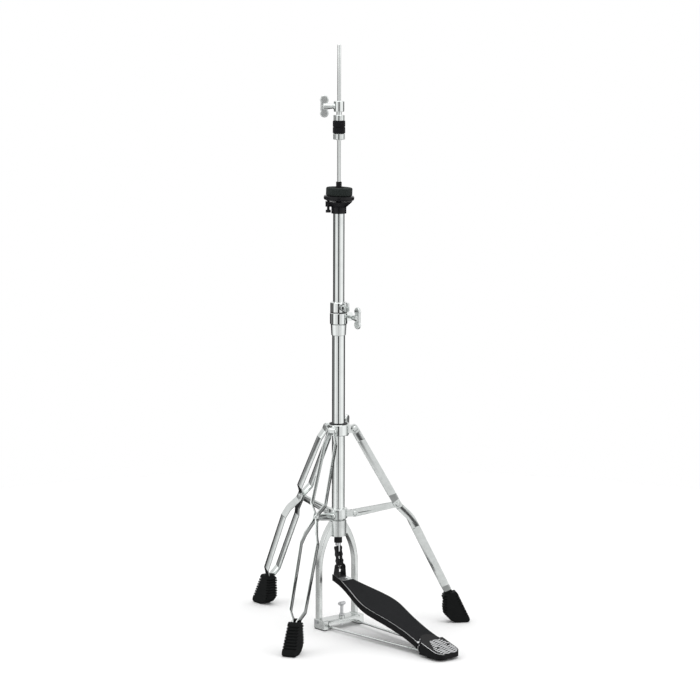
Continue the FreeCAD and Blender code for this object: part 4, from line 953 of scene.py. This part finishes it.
class DressMetal(bpy.types.Operator):
    """Metal, paint and moulded finishes on the carried-over pieces"""

    bl_idname = "hihat.dress_metal"
    bl_label = "Metal and paint"

    def execute(self, context):
        wanted = settings("hihat_metal")
        rubber = settings("hihat_rubber")
        finishes = {
            "chrome": polished_chrome(wanted.chrome),
            "plated_steel": plated_strip(wanted.plate),
            "cast_grey": polished_casting(wanted.casting),
            "zinc_steel": turned_steel(),
            "black_steel": blackened_steel(),
            "spring_steel": spring_wire(),
            "black_board": black_paint(wanted.paint),
            "grip_mat": grip_mat(wanted.mat),
            "rubber": ribbed_rubber(rubber.color, "pad_rubber"),
            "black_plastic": moulded_nylon(),
            "gloss_black": gloss_moulding(),
            "felt": pressed_felt((0.05, 0.055, 0.055), "hidden_felt"),
        }
        for row in frame["record"]["subparts"]:
            coat_node(row["node"], finishes[row["material_slot"]])
        mesh = frame["nodes"]["footboard"].data
        mesh.materials.append(bright_rim())
        for face in mesh.polygons:
            if face.normal.z > RIM_LOOKS_UP and face.center.z > RIM_ABOVE_Z:
                face.material_index = 1
        return {"FINISHED"}


FLOOR_Z = -0.0004
# Soft lights: name, share of the key light's power, size and place, in metres.
LIGHTS = (
    ("overhead", 1.0, 2.6, (-0.2, -0.2, 3.2)),
    ("left_soft", 0.55, 2.0, (-3.4, 0.9, 1.8)),
    ("right_soft", 0.5, 2.0, (1.4, -3.2, 1.8)),
)
LIGHTS_AIM = (0, 0, 0.5)
# The camera: its place from the foot of the tubes' axis, its turn, how far it looks down
# and its roll in degrees, and its sideways shift.
CAMERA_PLACE = (-3.605, -4.472, 1.465)
CAMERA_TURN = -38.87
CAMERA_DOWN = 9.02
CAMERA_ROLL = 0.12
CAMERA_SHIFT = 0.0166


class BuildStage(bpy.types.Operator):
    """Plain pale floor, soft studio light and the camera"""

    bl_idname = "hihat.stage"
    bl_label = "Stage"

    def execute(self, context):
        wanted = settings("hihat_stage")
        nothing_selected()
        bpy.ops.mesh.primitive_circle_add(
            vertices=128, radius=wanted.floor_radius, fill_type="NGON", location=(0, 0, FLOOR_Z))
        floor = named("floor")
        f = Finish("pale_floor")
        grain = f.noise(6.0, 3.0)
        dress(floor, f.done(
            Base_Color=f.blend(grain, wanted.floor_color, shade(wanted.floor_color, 0.985)),
            Roughness=0.9, Specular_IOR_Level=0.1))
        # The metal does not mirror the floor, which would wash the tubes out.
        floor.visible_glossy = False
        studio_world()
        for name, share, size, place in LIGHTS:
            bpy.ops.object.light_add(type="AREA", location=place)
            light = bpy.context.object
            light.name = name
            light.data.energy = wanted.key_power * share
            light.data.size = size
            aim = Vector(LIGHTS_AIM) - Vector(place)
            light.rotation_euler = aim.to_track_quat("-Z", "Y").to_euler()
        camera = bpy.data.objects.new("camera", bpy.data.cameras.new("camera"))
        bpy.context.scene.collection.objects.link(camera)
        camera.matrix_world = (
            Matrix.Translation(TUBE_AXIS + Vector(CAMERA_PLACE))
            @ Matrix.Rotation(math.radians(CAMERA_TURN), 4, "Z")
            @ Matrix.Rotation(math.radians(90 - CAMERA_DOWN), 4, "X")
            @ Matrix.Rotation(math.radians(CAMERA_ROLL), 4, "Z"))
        camera.data.lens = wanted.lens
        camera.data.sensor_width = 36.0
        camera.data.shift_x = CAMERA_SHIFT
        camera.data.clip_end = 50.0
        context.scene.camera = camera
        context.scene.view_settings.view_transform = "Standard"
        return {"FINISHED"}


# Level directions from the stand: towards the camera, and to the right as the camera sees it.
TO_CAMERA = (-0.6276, -0.7786, 0.0)
TO_RIGHT = (0.7786, -0.6276, 0.0)
# Brightness from straight behind the stand (0) round to the camera (1): a dark strip at each end.
STRIPS = ((0.0, 0.02), (0.27, 0.03), (0.33, 0.55), (0.50, 1.15), (0.76, 1.25), (0.90, 0.95),
          (0.979, 0.95), (0.989, 0.03))
# Each patch's edges: where it starts and ends to change, and what it changes from and to.
# These are heights or shares of a direction, as the sine of its angle.
LEFT_SIDE, LEFT_ABOVE = (-0.99, -0.90, 1.0, 0.0), (-0.225, -0.190, 0.0, 1.0)
LIT_SIDE, LIT_BELOW = (0.45, 0.62, 0.0, 0.45), (-0.215, -0.180, 1.0, 0.0)
STEEP_BELOW = (-0.75, -0.50, 0.35, 1.0)
CARD_ABOVE, CARD_BELOW = (0.16, 0.22, 0.0, 1.0), (0.36, 0.42, 1.0, 0.0)
CARD_FRONT = (0.90, 0.94, 0.0, 1.0)
HORIZON = (-0.08, 0.0, 0.0, 1.0)
LEFT_LEVELS = (1.0, 0.10)
CARD_LEVELS = (0.97, 0.08)


def studio_world():
    """Surroundings that light the stand and show in its metal, while the camera sees plain white.

    Below the horizon: the strips, a lit patch low on the right, a dark patch on the left
    and less light from steep below. Above it: even white, with a dark card round the camera.
    """
    world = bpy.data.worlds.new("studio")
    bpy.context.scene.world = world
    world.use_nodes = True
    tree = world.node_tree
    tree.nodes.clear()
    place = tree.nodes.new("ShaderNodeTexCoord").outputs["Generated"]

    def add(kind, options, inputs, output=0):
        node = tree.nodes.new(kind)
        for name, value in options.items():
            setattr(node, name, value)
        for name, value in inputs.items():
            if isinstance(value, bpy.types.NodeSocket):
                tree.links.new(value, node.inputs[name])
            else:
                node.inputs[name].default_value = value
        return node.outputs[output]

    def smooth(value, edge):
        low, high, first, last = edge
        return add("ShaderNodeMapRange", {"interpolation_type": "SMOOTHSTEP"},
                   {"Value": value, "From Min": low, "From Max": high,
                    "To Min": first, "To Max": last})

    def between(share, levels):
        first, last = levels
        return add("ShaderNodeMapRange", {}, {"Value": share, "To Min": first, "To Max": last})

    def product(first, second):
        return add("ShaderNodeMath", {"operation": "MULTIPLY"}, {0: first, 1: second})

    def toward(direction):
        return add("ShaderNodeVectorMath", {"operation": "DOT_PRODUCT"},
                   {0: place, 1: direction}, "Value")

    share = add("ShaderNodeMapRange", {}, {"Value": toward(TO_CAMERA), "From Min": -1.0})
    height = add("ShaderNodeSeparateXYZ", {}, {"Vector": place}, "Z")
    side = toward(TO_RIGHT)
    ramp = tree.nodes.new("ShaderNodeValToRGB")
    tree.links.new(share, ramp.inputs["Fac"])
    elements = ramp.color_ramp.elements
    while len(elements) < len(STRIPS):
        elements.new(0.5)
    for element, (at, level) in zip(elements, STRIPS):
        element.position = at
        element.color = (level, level, level, 1.0)
    left = product(smooth(side, LEFT_SIDE), smooth(height, LEFT_ABOVE))
    lit = product(smooth(side, LIT_SIDE), smooth(height, LIT_BELOW))
    strips = add("ShaderNodeMath", {"operation": "MAXIMUM"}, {0: ramp.outputs["Color"], 1: lit})
    strips = product(strips, between(left, LEFT_LEVELS))
    under = product(strips, smooth(height, STEEP_BELOW))
    card = product(smooth(height, CARD_ABOVE), smooth(height, CARD_BELOW))
    over = between(product(card, smooth(share, CARD_FRONT)), CARD_LEVELS)
    mix = tree.nodes.new("ShaderNodeMix")
    mix.data_type = "RGBA"
    tree.links.new(smooth(height, HORIZON), mix.inputs["Factor"])
    sides = [socket for socket in mix.inputs if socket.type == "RGBA"]
    tree.links.new(under, sides[0])
    tree.links.new(over, sides[1])
    around = tree.nodes.new("ShaderNodeBackground")
    mixed = next(socket for socket in mix.outputs if socket.type == "RGBA")
    tree.links.new(mixed, around.inputs["Color"])
    plain = tree.nodes.new("ShaderNodeBackground")
    plain.inputs["Color"].default_value = (1.0, 1.0, 1.0, 1.0)
    path = tree.nodes.new("ShaderNodeLightPath")
    both = tree.nodes.new("ShaderNodeMixShader")
    tree.links.new(path.outputs["Is Camera Ray"], both.inputs[0])
    tree.links.new(around.outputs[0], both.inputs[1])
    tree.links.new(plain.outputs[0], both.inputs[2])
    output = tree.nodes.new("ShaderNodeOutputWorld")
    tree.links.new(both.outputs[0], output.inputs["Surface"])


class StandPanel(bpy.types.Panel):
    """Buttons for each group of pieces"""

    bl_label = "Hi-hat stand"
    bl_idname = "HIHAT_PT_stand"
    bl_space_type = "VIEW_3D"
    bl_region_type = "UI"
    bl_category = "Hi-hat stand"

    def draw(self, context):
        for name, group in GROUPS.items():
            box = self.layout.box()
            for prop in group.__annotations__:
                box.prop(getattr(context.scene, name), prop)
        for operator in OPERATORS:
            self.layout.operator(operator.bl_idname)


GROUPS = {
    "hihat_felts": FeltSettings,
    "hihat_rubber": RubberSettings,
    "hihat_heel": HeelSettings,
    "hihat_metal": MetalSettings,
    "hihat_stage": StageSettings,
}
OPERATORS = [
    DressMetal, MakeSeatFelt, MakeClutchFelts, MakeRubberFeet,
    SoftenEdges, MakeWings, MakeHeelRibs, BuildStage,
]


def register():
    for group in GROUPS.values():
        bpy.utils.register_class(group)
    for operator in OPERATORS:
        bpy.utils.register_class(operator)
    bpy.utils.register_class(StandPanel)
    for name, group in GROUPS.items():
        setattr(bpy.types.Scene, name, bpy.props.PointerProperty(type=group))


def unregister():
    for name in GROUPS:
        delattr(bpy.types.Scene, name)
    bpy.utils.unregister_class(StandPanel)
    for operator in reversed(OPERATORS):
        bpy.utils.unregister_class(operator)
    for group in reversed(list(GROUPS.values())):
        bpy.utils.unregister_class(group)


def main():
    register()
    bpy.ops.hihat.dress_metal()
    bpy.ops.hihat.seat_felt()
    bpy.ops.hihat.clutch_felts()
    bpy.ops.hihat.rubber_feet()
    bpy.ops.hihat.soft_edges()
    bpy.ops.hihat.wings()
    bpy.ops.hihat.heel_ribs()
    bpy.ops.hihat.stage()


if __name__ == "__main__":
    main()
